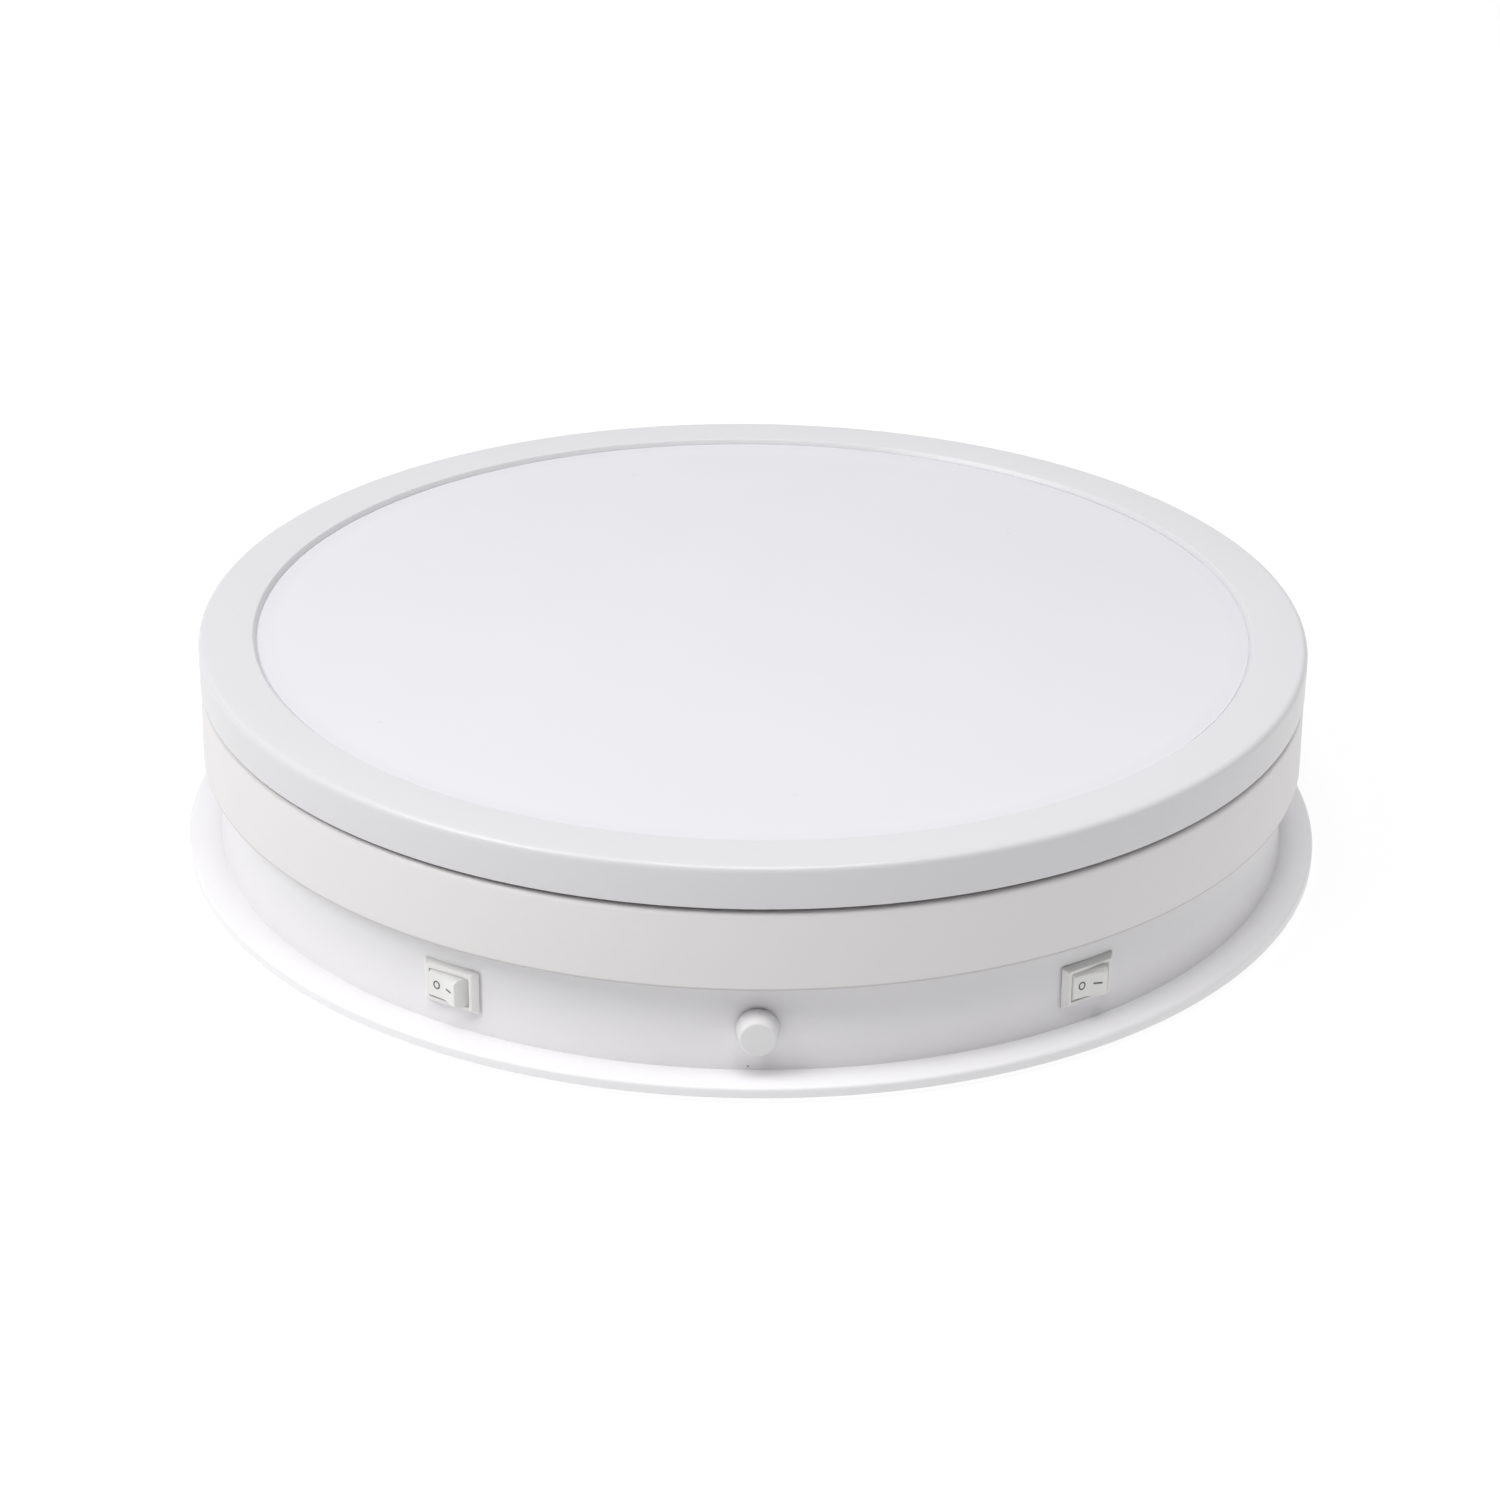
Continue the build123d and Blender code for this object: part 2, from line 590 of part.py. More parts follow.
def back_plate_screws():
    screw = screw_up(0.9, 1.4, 0.7, BACK_PLATE_LOW, BACK_PLATE_TOP + 3.5)
    return ring_of(screw, 8, PANEL_SCREW_R, 0)


def foam_pad():
    pad = disc(184.0, BACK_PLATE_TOP, REFLECTOR_LOW)
    channel = Pos((CABLE_HOLE_R + 180) / 2, 0, 0) * block(190 - CABLE_HOLE_R, 3.0, 60, BACK_PLATE_TOP + 4.2)
    return pad - CABLE_TURN * channel


def reflector_sheet():
    return disc(GUIDE_R, REFLECTOR_LOW, GUIDE_LOW)


def light_guide():
    guide = disc(GUIDE_R, GUIDE_LOW, DIFFUSER_LOW)
    return holes_in(guide, [pin_place(r, deg) * disc(1.2, GUIDE_LOW - 1, DIFFUSER_LOW + 1) for r, deg in PINS])


# Four small pins hold the light guide flat. Each is a radius and an angle.
PINS = [(145.0, 107.7), (125.5, 40.4), (151.0, 215.1), (140.0, 274.8)]


def pin_place(radius, deg):
    return Rot(0, 0, deg) * Pos(radius, 0, 0)


def guide_pins():
    return [pin_place(r, deg) * disc(1.15, GUIDE_LOW, DIFFUSER_LOW) for r, deg in PINS]


def led_strip():
    return tube(187.5, 188.1, GUIDE_LOW, DIFFUSER_LOW)


def led_chips():
    chip = Pos(0.2, 0, 0) * block(0.5, 2.8, GUIDE_LOW + 0.4, DIFFUSER_LOW - 0.4)
    return ring_of(chip, 90, 187.02, 1)


def diffuser():
    """A sheet whose rim steps down under the lip of the frame."""
    return disc(DIFFUSER_R, DIFFUSER_LOW, RIM_STEP) + disc(LIP_R_LOW - 0.3, RIM_STEP, DIFFUSER_TOP)


# ---- wiring inside the base and the platter ----
def board_port(number):
    """The mouth of one terminal block, where its cable starts."""
    return (-105.4, 42.5 - 11.0 * number, BOARD_TOP + 3.5)


def wall_point(front_deg, radius):
    return (radius * sin(radians(front_deg)), -radius * cos(radians(front_deg)), CONTROL_Z)


def inlet_cable():
    return cable(
        board_port(0), (-88, 48, 17), (-80, 105, 10), (-35, 148, 10), (-6, 152, CONTROL_Z), (0, 167.2, CONTROL_Z)
    )


def motor_cable():
    return cable(board_port(1), (-72, 36, 16), (-48, 66, 14), (-34, 70, 15), (-17, 70, 15))


def slip_ring_cable():
    return cable(board_port(2), (-70, 18, 15), (-36, 5, 9), (-9, 0, 9), (0, 0, 14), (0, 0, DECK_TOP - 22))


def right_switch_cable():
    return cable(
        board_port(3), (-66, 6, 17), (-40, -40, 10), (20, -72, 10), (52, -102, 12),
        wall_point(RIGHT_SWITCH_DEG, 150), wall_point(RIGHT_SWITCH_DEG, SWITCH_FACE - 13),
    )


def speed_cable():
    return cable(
        board_port(4), (-74, -5, 17), (-62, -50, 10), (-50, -112, 10),
        (-12, -150, 14), (0, -162, KNOB_Z), (0, -175.6, KNOB_Z),
    )


def left_switch_cable():
    return cable(
        board_port(5), (-84, -16, 17), (-80, -50, 12), (-79, -98, 12),
        wall_point(LEFT_SWITCH_DEG, 150), wall_point(LEFT_SWITCH_DEG, SWITCH_FACE - 13),
    )


def panel_cable():
    gap = (RING_TOP + BACK_PLATE_LOW) / 2
    inside = BACK_PLATE_TOP + 2.6
    strip_r = 187.8
    route = cable(
        (0, 0, 52), (0, 0, gap), (CABLE_HOLE_R, 0, gap), (CABLE_HOLE_R, 0, inside),
        (strip_r, 0, inside), (strip_r, 0, GUIDE_LOW), r=0.8, bend=1.6,
    )
    return CABLE_TURN * route


os.makedirs("parts", exist_ok=True)

save("base_shell", base_shell())
save("bottom_plate", bottom_plate())
save("rubber_feet", rubber_feet())
save("bottom_screws", bottom_screws())
save("lower_race", lower_race())
save("lower_race_screws", lower_race_screws())
save("bearing_cage", bearing_cage())
save("bearing_balls", bearing_balls())
save("upper_race", upper_race())
save("upper_race_screws", upper_race_screws())
save("gearbox_case", gearbox_case())
save("motor_can", motor_can())
save("motor_screws", motor_screws())
save("motor_shaft", motor_shaft())
save("pinion_gear", pinion_gear())
save("drive_gear", drive_gear())
save("gear_screws", gear_screws())
save("slip_ring_stator", slip_ring_stator())
save("slip_ring_screws", slip_ring_screws())
save("slip_ring_rotor", slip_ring_rotor())
save("pot_body", pot_body())
save("pot_nut", pot_nut())
save("pot_shaft", pot_shaft())
save("speed_knob", speed_knob())
for side, angle in (("left", LEFT_SWITCH_DEG), ("right", RIGHT_SWITCH_DEG)):
    save(f"{side}_switch_housing", switch_place(switch_housing(), angle))
    save(f"{side}_switch_terminals", [switch_place(blade, angle) for blade in switch_terminals()])
    save(f"{side}_rocker", switch_place(rocker_solid(), angle))
save("dc_jack", dc_jack())
save("dc_jack_nut", dc_jack_nut())
save("control_board", control_board())
save("board_standoffs", board_standoffs())
save("board_screws", board_screws())
save("terminal_blocks", terminal_blocks())
save("capacitors", capacitors())
save("power_transistor", power_transistor())
save("heat_sink", heat_sink())
save("platter_drum", platter_drum())
save("spacer_ring", spacer_ring())
save("panel_screws", panel_screws())
save("panel_frame", panel_frame())
save("back_plate", back_plate())
save("back_plate_screws", back_plate_screws())
save("foam_pad", foam_pad())
save("reflector_sheet", reflector_sheet())
save("light_guide", light_guide())
save("guide_pins", guide_pins())
save("led_strip", led_strip())
save("led_chips", led_chips())
save("diffuser", diffuser())
save("panel_cable", panel_cable())
save("motor_cable", motor_cable())
save("inlet_cable", inlet_cable())
save("slip_ring_cable", slip_ring_cable())
save("speed_cable", speed_cable())
save("left_switch_cable", left_switch_cable())
save("right_switch_cable", right_switch_cable())
save("inductor", inductor())
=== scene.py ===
import math

import bmesh
import bpy
from mathutils import Matrix, Vector


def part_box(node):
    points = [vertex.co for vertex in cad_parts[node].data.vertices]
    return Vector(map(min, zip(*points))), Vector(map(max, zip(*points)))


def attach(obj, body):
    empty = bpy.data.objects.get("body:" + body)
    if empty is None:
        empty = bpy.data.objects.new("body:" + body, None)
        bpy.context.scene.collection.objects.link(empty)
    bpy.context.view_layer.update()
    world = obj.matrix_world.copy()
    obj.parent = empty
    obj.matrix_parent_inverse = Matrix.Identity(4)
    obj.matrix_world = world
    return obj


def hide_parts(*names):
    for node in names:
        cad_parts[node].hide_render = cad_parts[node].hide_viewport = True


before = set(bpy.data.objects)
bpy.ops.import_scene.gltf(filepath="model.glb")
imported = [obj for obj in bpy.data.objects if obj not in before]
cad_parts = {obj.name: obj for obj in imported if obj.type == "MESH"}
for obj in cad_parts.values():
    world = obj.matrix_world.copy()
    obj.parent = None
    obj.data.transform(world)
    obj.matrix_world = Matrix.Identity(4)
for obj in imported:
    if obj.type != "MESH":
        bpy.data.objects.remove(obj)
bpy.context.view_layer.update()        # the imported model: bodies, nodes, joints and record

# A lit display turntable. Lengths are millimetres times MM. The front faces -Y.
MM = 0.001
collection = bpy.context.scene.collection

# ---- camera ----
LOOK_AT = Vector((0, 0, 40.5)) * MM
CAMERA_AT = Vector((-18.0, -1174.2, 587.6)) * MM
CAMERA_ROLL = 0.0121
SENSOR_WIDTH = 36.0
FOCAL_LENGTH = 87.5
SHIFT_X = -0.0015
SHIFT_Y = -0.0239

camera_data = bpy.data.cameras.new("camera")
camera_data.sensor_width = SENSOR_WIDTH
camera_data.lens = FOCAL_LENGTH
camera_data.shift_x = SHIFT_X
camera_data.shift_y = SHIFT_Y
camera = bpy.data.objects.new("camera", camera_data)
collection.objects.link(camera)
aim = (LOOK_AT - CAMERA_AT).to_track_quat("-Z", "Y").to_matrix().to_4x4()
camera.matrix_world = Matrix.Translation(CAMERA_AT) @ aim @ Matrix.Rotation(CAMERA_ROLL, 4, "Z")
bpy.context.scene.camera = camera


# ---- outer sizes, read from the nodes ----
def span(node):
    """Lowest and highest corner of a node, in millimetres."""
    low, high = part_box(node)
    return low / MM, high / MM


PLATE_LOW = span("bottom_plate")[0].z
PLATE_TOP = span("bottom_plate")[1].z
# The flange keeps to the plate's least reach, so that it stays inside the plate's box.
FLANGE_R = min(*span("bottom_plate")[1].xy, *(-span("bottom_plate")[0]).xy)
CORNER_R = span("base_shell")[1].x
DECK_TOP = span("base_shell")[1].z
RING_LOW = span("platter_drum")[0].z
RING_TOP = span("platter_drum")[1].z
RING_R_LOW = span("platter_drum")[1].x
PANEL_LOW = span("panel_frame")[0].z
PANEL_TOP = span("panel_frame")[1].z
PANEL_R = span("panel_frame")[1].x
FACE_LOW = span("diffuser")[0].z
FACE_TOP = span("diffuser")[1].z
FACE_R = span("diffuser")[1].x
KNOB_Z = (span("speed_knob")[0].z + span("speed_knob")[1].z) / 2
KNOB_TIP = -span("speed_knob")[0].y
KNOB_BACK = -span("speed_knob")[1].y
FOOT_TOP = span("rubber_feet")[1].z

# ---- sizes that several pieces share, in millimetres and degrees ----
WALL_R = 187.4
WALL_IN = WALL_R - 3.0
DECK_LOW = DECK_TOP - 3.0
RACE_TRACK_R = 96.0
RACE_SCREWS = 6
BOSS_R = 172.0
BOSSES = 8
MOTOR_Y = 70.0
RIM_STEP = 77.1
LIP_R_LOW = 173.0
CONTROL_Z = 19.8
LEFT_SWITCH_DEG = -31.0
RIGHT_SWITCH_DEG = 34.2
JACK_DEG = 180.0
STEPS = 360         # round the large lathed pieces
SHARP_DEG = 30.0    # edges sharper than this stay sharp
CUT_PAST = 1.0      # how far a cutter reaches past each face
OVERLAP = 0.3       # how far ribs and bosses run into the plate that they stand on


# ---- mesh helpers ----
def arc_points(middle, radius, first, last, step_deg, count=None):
    """Points along an arc: a fixed number, or as many as the step asks for."""
    if count is None:
        count = max(2, math.ceil(abs(last - first) / math.radians(step_deg) - 1e-6) + 1)
    turns = [first + (last - first) * k / (count - 1) for k in range(count)]
    return [middle + Vector((math.cos(t), math.sin(t))) * radius for t in turns]


def rounded(corners, step_deg=12.0, count=None):
    """A closed outline. Each corner is (a, b, radius), and a radius of 0 keeps it sharp."""
    points = []
    for i, (a, b, radius) in enumerate(corners):
        here = Vector((a, b))
        if radius <= 0:
            points.append(here)
            continue
        back = (Vector(corners[i - 1][:2]) - here).normalized()
        on = (Vector(corners[(i + 1) % len(corners)][:2]) - here).normalized()
        half = back.angle(on) / 2
        middle = here + (back + on).normalized() * (radius / math.sin(half))
        start = here + back * (radius / math.tan(half)) - middle
        end = here + on * (radius / math.tan(half)) - middle
        first = math.atan2(start.y, start.x)
        last = math.atan2(end.y, end.x)
        if last - first > math.pi:
            last -= 2 * math.pi
        if first - last > math.pi:
            last += 2 * math.pi
        points += arc_points(middle, radius, first, last, step_deg, count)
    return points


def lathe_into(bm, outline, steps=STEPS):
    """Turns a closed (radius, z) outline, in millimetres, about Z."""
    rings = []
    for p in outline:
        if p[0] < 1e-6:
            rings.append([bm.verts.new((0, 0, p[1] * MM))])
            continue
        ring = []
        for k in range(steps):
            turn = 2 * math.pi * k / steps
            x = p[0] * MM * math.cos(turn)
            y = p[0] * MM * math.sin(turn)
            ring.append(bm.verts.new((x, y, p[1] * MM)))
        rings.append(ring)
    for i, low in enumerate(rings):
        high = rings[(i + 1) % len(rings)]
        if len(low) == 1 and len(high) == 1:
            continue
        for k in range(steps):
            n = (k + 1) % steps
            corners = [low[k % len(low)], low[n % len(low)]]
            corners += [high[n % len(high)], high[k % len(high)]]
            bm.faces.new(list(dict.fromkeys(corners)))


def prism_into(bm, outline, low, high):
    """Extrudes a closed (x, y) outline, in millimetres, along Z."""
    bottom = [bm.verts.new((p[0] * MM, p[1] * MM, low * MM)) for p in outline]
    top = [bm.verts.new((p[0] * MM, p[1] * MM, high * MM)) for p in outline]
    bm.faces.new(bottom[::-1])
    bm.faces.new(top)
    for i in range(len(outline)):
        n = (i + 1) % len(outline)
        bm.faces.new([bottom[i], bottom[n], top[n], top[i]])


def loft_into(bm, loops, round_again=False):
    """Joins loops of the same number of (x, y, z) points, in millimetres.

    The last loop joins the first if it goes round again. Otherwise both ends are closed.
    """
    rings = [[bm.verts.new(Vector(p) * MM) for p in points] for points in loops]
    following = rings[1:] + rings[:1] if round_again else rings[1:]
    for low, high in zip(rings, following):
        for i in range(len(low)):
            n = (i + 1) % len(low)
            bm.faces.new([low[i], low[n], high[n], high[i]])
    if not round_again:
        bm.faces.new(rings[0][::-1])
        bm.faces.new(rings[-1])


def circle(radius, x=0.0, y=0.0, steps=48):
    """A round outline. Its first point is off the axis, so no cut falls on an edge of a lathed piece."""
    turns = [2 * math.pi * (k + 0.37) / steps for k in range(steps)]
    return [(x + radius * math.cos(t), y + radius * math.sin(t)) for t in turns]


def box_outline(width, height, radius=0.0, x=0.0, y=0.0):
    """A rectangle about (x, y), with rounded corners if a radius is given."""
    w, h = width / 2, height / 2
    corners = [(x - w, y - h, radius), (x + w, y - h, radius)]
    corners += [(x + w, y + h, radius), (x - w, y + h, radius)]
    return rounded(corners, 22.5)


def ring_spots(count, radius, first_deg):
    """Evenly spaced places round Z."""
    turns = [math.radians(first_deg + 360 * k / count) for k in range(count)]
    return [(radius * math.cos(t), radius * math.sin(t)) for t in turns]


def add_bmesh(target, extra):
    """Adds a copy of one bmesh to another."""
    mesh = bpy.data.meshes.new("passing")
    extra.to_mesh(mesh)
    target.from_mesh(mesh)
    bpy.data.meshes.remove(mesh)


def cylinders_into(bm, spots, radius, low, high, steps=48):
    """Upright cylinders at the given places."""
    for x, y in spots:
        prism_into(bm, circle(radius, x, y, steps), low, high)


def lathes_into(bm, spots, outline, steps=32):
    """The same lathed shape at each of the given places."""
    for x, y in spots:
        one = bmesh.new()
        lathe_into(one, outline, steps)
        bmesh.ops.translate(one, verts=one.verts, vec=Vector((x, y, 0)) * MM)
        add_bmesh(bm, one)
        one.free()


def ribs_into(bm, outline, low, high, count, first_deg):
    """Upright ribs of one outline, spread round Z."""
    for k in range(count):
        rib = bmesh.new()
        prism_into(rib, outline, low, high)
        turn = Matrix.Rotation(math.radians(first_deg + 360 / count * k), 3, "Z")
        bmesh.ops.rotate(rib, verts=rib.verts, matrix=turn)
        add_bmesh(bm, rib)
        rib.free()


def around(bm, count):
    """Repeats everything in a bmesh round Z."""
    source = bm.copy()
    for k in range(1, count):
        extra = source.copy()
        turn = Matrix.Rotation(2 * math.pi / count * k, 3, "Z")
        bmesh.ops.rotate(extra, verts=extra.verts, matrix=turn)
        add_bmesh(bm, extra)
        extra.free()
    source.free()
    return bm


def smooth(mesh, sharp_deg=SHARP_DEG):
    """Smooth shading that keeps the sharper edges."""
    mesh.shade_smooth()
    mesh.set_sharp_from_angle(angle=math.radians(sharp_deg))


def to_object(name, bm, sharp_deg=SHARP_DEG):
    """A smooth-shaded object made from a bmesh, which is used up."""
    bmesh.ops.recalc_face_normals(bm, faces=bm.faces)
    mesh = bpy.data.meshes.new(name)
    bm.to_mesh(mesh)
    bm.free()
    smooth(mesh, sharp_deg)
    made = bpy.data.objects.new(name, mesh)
    collection.objects.link(made)
    return made


def apply_modifiers(made, sharp_deg=SHARP_DEG):
    """Makes the result of a piece's modifiers its own mesh."""
    graph = bpy.context.evaluated_depsgraph_get()
    mesh = bpy.data.meshes.new_from_object(made.evaluated_get(graph))
    made.modifiers.clear()
    made.data = mesh
    smooth(mesh, sharp_deg)
    return made


def cut(made, tools):
    """Takes each tool's bmesh out of a piece."""
    for bm in tools:
        tool = to_object("tool", bm)
        modifier = made.modifiers.new("cut", "BOOLEAN")
        modifier.object = tool
        modifier.operation = "DIFFERENCE"
        modifier.solver = "EXACT"
        apply_modifiers(made)
        bpy.data.objects.remove(tool)
    return made


def bevelled(made, width, sharp_deg):
    """Rounds the sharp edges of a piece."""
    modifier = made.modifiers.new("edges", "BEVEL")
    modifier.width = width * MM
    modifier.segments = 3
    modifier.limit_method = "ANGLE"
    modifier.angle_limit = math.radians(SHARP_DEG)
    return apply_modifiers(made, sharp_deg)


def joined(made, extra):
    """Adds a bmesh of closed shells to a piece."""
    bmesh.ops.recalc_face_normals(extra, faces=extra.faces)
    whole = bmesh.new()
    whole.from_mesh(made.data)
    add_bmesh(whole, extra)
    extra.free()
    whole.to_mesh(made.data)
    whole.free()
    smooth(made.data)
    return made


def at_wall(front_deg, z, radius):
    """From a shape built face up (its seat at z = 0) to its place on the wall, facing outwards."""
    turn = Matrix.Rotation(math.radians(front_deg), 4, "Z")
    out = Matrix.Translation(Vector((0, -radius, z)) * MM)
    return turn @ out @ Matrix.Rotation(math.radians(90), 4, "X")


def moved(made, matrix):
    """Moves a piece's mesh, and leaves its origin at the centre of the turntable."""
    made.data.transform(matrix)
    return made


def part(made, body, slot, material, *nodes):
    """Puts a finished piece on its body, in its material, in place of CAD nodes."""
    made.data.materials.clear()
    made.data.materials.append(material)
    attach(made, body)
    if nodes:
        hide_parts(*nodes)


# ---- materials ----
class Nodes:
    """A small builder for one material's node tree."""

    def __init__(self, name):
        self.material = bpy.data.materials.new(name)
        self.material.use_nodes = True
        self.tree = self.material.node_tree
        self.shader = self.tree.nodes["Principled BSDF"]
        self.place = self.tree.nodes.new("ShaderNodeTexCoord").outputs["Object"]

    def link(self, a, b):
        self.tree.links.new(a, b)

    def noise(self, per_metre, detail=2.0, rough=0.5, stretch=(1, 1, 1)):
        node = self.tree.nodes.new("ShaderNodeTexNoise")
        node.inputs["Scale"].default_value = per_metre
        node.inputs["Detail"].default_value = detail
        node.inputs["Roughness"].default_value = rough
        place = self.place
        if stretch != (1, 1, 1):
            mapping = self.tree.nodes.new("ShaderNodeMapping")
            mapping.inputs["Scale"].default_value = stretch
            self.link(place, mapping.inputs["Vector"])
            place = mapping.outputs["Vector"]
        self.link(place, node.inputs["Vector"])
        return node.outputs["Fac"]

    def ramp(self, value, low, high, out_low=0.0, out_high=1.0):
        node = self.tree.nodes.new("ShaderNodeMapRange")
        node.inputs["From Min"].default_value = low
        node.inputs["From Max"].default_value = high
        node.inputs["To Min"].default_value = out_low
        node.inputs["To Max"].default_value = out_high
        self.link(value, node.inputs["Value"])
        return node.outputs["Result"]

    def math(self, operation, a, b=None):
        node = self.tree.nodes.new("ShaderNodeMath")
        node.operation = operation
        for socket, value in zip(node.inputs, (a, b)):
            if isinstance(value, (int, float)):
                socket.default_value = value
            elif value is not None:
                self.link(value, socket)
        return node.outputs["Value"]

    def mix(self, factor, a, b):
        node = self.tree.nodes.new("ShaderNodeMix")
        node.data_type = "RGBA"
        self.link(factor, node.inputs["Factor"])
        for socket, value in ((node.inputs["A"], a), (node.inputs["B"], b)):
            if isinstance(value, tuple):
                socket.default_value = (*value, 1.0)
            else:
                self.link(value, socket)
        return node.outputs["Result"]

    def bump(self, height, depth_mm, strength, under=None):
        node = self.tree.nodes.new("ShaderNodeBump")
        node.inputs["Distance"].default_value = depth_mm * MM
        node.inputs["Strength"].default_value = strength
        self.link(height, node.inputs["Height"])
        if under is not None:
            self.link(under, node.inputs["Normal"])
        return node.outputs["Normal"]

    def split(self):
        node = self.tree.nodes.new("ShaderNodeSeparateXYZ")
        self.link(self.place, node.inputs["Vector"])
        return node.outputs

    def radius(self):
        """Distance from the turning axis, in metres."""
        axes = self.split()
        squares = [self.math("POWER", axes[axis], 2.0) for axis in ("X", "Y")]
        return self.math("SQRT", self.math("ADD", *squares))

    def height(self):
        """Height above the floor, in metres."""
        return self.split()["Z"]

    def away(self, spot):
        """Distance from a spot, in metres."""
        node = self.tree.nodes.new("ShaderNodeVectorMath")
        node.operation = "DISTANCE"
        self.link(self.place, node.inputs[0])
        node.inputs[1].default_value = spot
        return node.outputs["Value"]

    def finish(self, colour, roughness, normal, **values):
        self.link(colour, self.shader.inputs["Base Color"])
        self.link(roughness, self.shader.inputs["Roughness"])
        self.link(normal, self.shader.inputs["Normal"])
        for name, value in values.items():
            self.shader.inputs[name.replace("_", " ")].default_value = value
        return self.material


def shade(colour, factor):
    return tuple(c * factor for c in colour)


def moulded(name, colour, roughness, grain_mm=0.5, grain_depth=0.006, wave_depth=0.02, shade_bands=(), flecks=()):
    """Moulded plastic: faint flow mottling, fine mould texture and slow waviness.

    Each shade band is painted shade, as (dark height, clear height, darkness), and fades out from the first
    height to the second. Each fleck is one dark grain, as (x, y, z, radius).
    """
    n = Nodes(name)
    slow = n.ramp(n.noise(9.0, 3.0), 0.3, 0.7)
    tone = n.mix(slow, shade(colour, 0.982), shade(colour, 1.008))
    fine = n.ramp(n.noise(420.0, 2.0), 0.35, 0.65)
    tone = n.mix(fine, tone, shade(colour, 0.995))
    rough = n.ramp(n.noise(38.0, 4.0, 0.6), 0.3, 0.7, roughness - 0.035, roughness + 0.035)
    wave = n.bump(n.noise(55.0, 1.0), wave_depth, 0.5)
    grain = n.bump(n.noise(1000.0 / grain_mm, 2.0), grain_depth, 0.6, wave)
    # Painted shade: each band darkens the colour between two heights.
    for dark, clear, darkness in shade_bands:
        shade_band = n.ramp(n.height(), dark * MM, clear * MM, darkness, 0.0)
        tone = n.mix(shade_band, tone, shade(colour, 0.3))
    for x, y, z, radius in flecks:
        near = n.math("LESS_THAN", n.away(Vector((x, y, z)) * MM), radius * MM)
        tone = n.mix(n.math("MULTIPLY", near, 0.6), tone, shade(colour, 0.25))
    return n.finish(tone, rough, grain)


def metal(name, colour, roughness, stretch=(1, 1, 1)):
    """Plated or turned metal with fine marks."""
    n = Nodes(name)
    marks = n.noise(900.0, 3.0, 0.6, stretch)
    tone = n.mix(n.ramp(marks, 0.3, 0.7), shade(colour, 0.88), shade(colour, 1.04))
    rough = n.ramp(marks, 0.3, 0.7, roughness - 0.07, roughness + 0.08)
    return n.finish(tone, rough, n.bump(marks, 0.008, 0.5), Metallic=1.0)


def rubber(name, colour):
    """Dull, uneven rubber or foam."""
    n = Nodes(name)
    tone = n.mix(n.ramp(n.noise(300.0, 3.0), 0.3, 0.7), shade(colour, 0.8), shade(colour, 1.25))
    rough = n.ramp(n.noise(180.0, 2.0), 0.3, 0.7, 0.68, 0.82)
    return n.finish(tone, rough, n.bump(n.noise(1800.0, 2.0), 0.03, 0.6))


def printed_ink(name, colour):
    """Ink that covers a little unevenly."""
    n = Nodes(name)
    tone = n.mix(n.ramp(n.noise(1500.0, 3.0), 0.3, 0.7), shade(colour, 0.85), shade(colour, 1.2))
    rough = n.ramp(n.noise(900.0), 0.3, 0.7, 0.45, 0.6)
    return n.finish(tone, rough, n.bump(n.noise(2500.0), 0.01, 0.5))


# The pins that hold the light guide flat show through the face as four faint dots: (radius, degrees).
FACE_DOTS = [(145.2, 107.7), (125.5, 40.4), (151.3, 215.1), (140.1, 274.8)]
DOT_INNER_R = 0.4
DOT_OUTER_R = 1.3
# Where the painted shade at the face's rim begins, and where it is full.
FACE_SHADE_FROM = 165.5
FACE_SHADE_TO = 172.5


def frosted_face(name, colour):
    """Milk-white sheet: evenly pale, greyer towards its rim with painted shade, with four faint dots and a
    fine satin.
    """
    n = Nodes(name)
    # Painted shade: the face greys towards its rim, where the rim's lip shades it.
    edge = n.ramp(n.radius(), FACE_SHADE_FROM * MM, FACE_SHADE_TO * MM)
    tone = n.mix(n.ramp(n.noise(5.0, 2.0), 0.3, 0.7), shade(colour, 0.992), shade(colour, 1.004))
    tone = n.mix(n.math("MULTIPLY", edge, 0.45), tone, shade(colour, 0.9))
    for radius, deg in FACE_DOTS:
        turn = math.radians(deg)
        spot = Vector((radius * math.cos(turn), radius * math.sin(turn), FACE_TOP)) * MM
        near = n.ramp(n.away(spot), DOT_INNER_R * MM, DOT_OUTER_R * MM, 0.12, 0.0)
        tone = n.mix(near, tone, shade(colour, 0.55))
    rough = n.ramp(n.noise(25.0, 4.0, 0.6), 0.3, 0.7, 0.36, 0.46)
    satin = n.bump(n.noise(2600.0, 2.0), 0.004, 0.5, n.bump(n.noise(12.0, 1.0), 0.05, 0.3))
    return n.finish(tone, rough, satin, Specular_IOR_Level=0.45)


WHITE_BASE = (0.945, 0.932, 0.948)
WHITE_KNOB = (0.80, 0.79, 0.80)
WHITE_PLATE = (0.92, 0.91, 0.925)
WHITE_RING = (0.81, 0.79, 0.79)
WHITE_RIM = (0.735, 0.725, 0.742)
WHITE_FACE = (0.767, 0.760, 0.800)
WHITE_SWITCH = (0.88, 0.875, 0.865)
GREY_INK = (0.15, 0.15, 0.14)
BLACK_RUBBER = (0.035, 0.035, 0.037)
BLACK_JACK = (0.028, 0.028, 0.03)
GREY_PLATING = (0.62, 0.62, 0.63)

WALL_PAINTED_SHADE = (22.0, 8.0, 0.09)                         # painted shade: the wall darkens upwards towards the ring and is paler at its foot
WALL_FLECK = (-2.9, -188.24, 6.9, 0.4)                # one dark grain low on the wall, below the knob
RING_PAINTED_SHADE = (RING_LOW + 0.1, RING_LOW + 1.0, 0.7)     # painted shade along the ring's lower edge
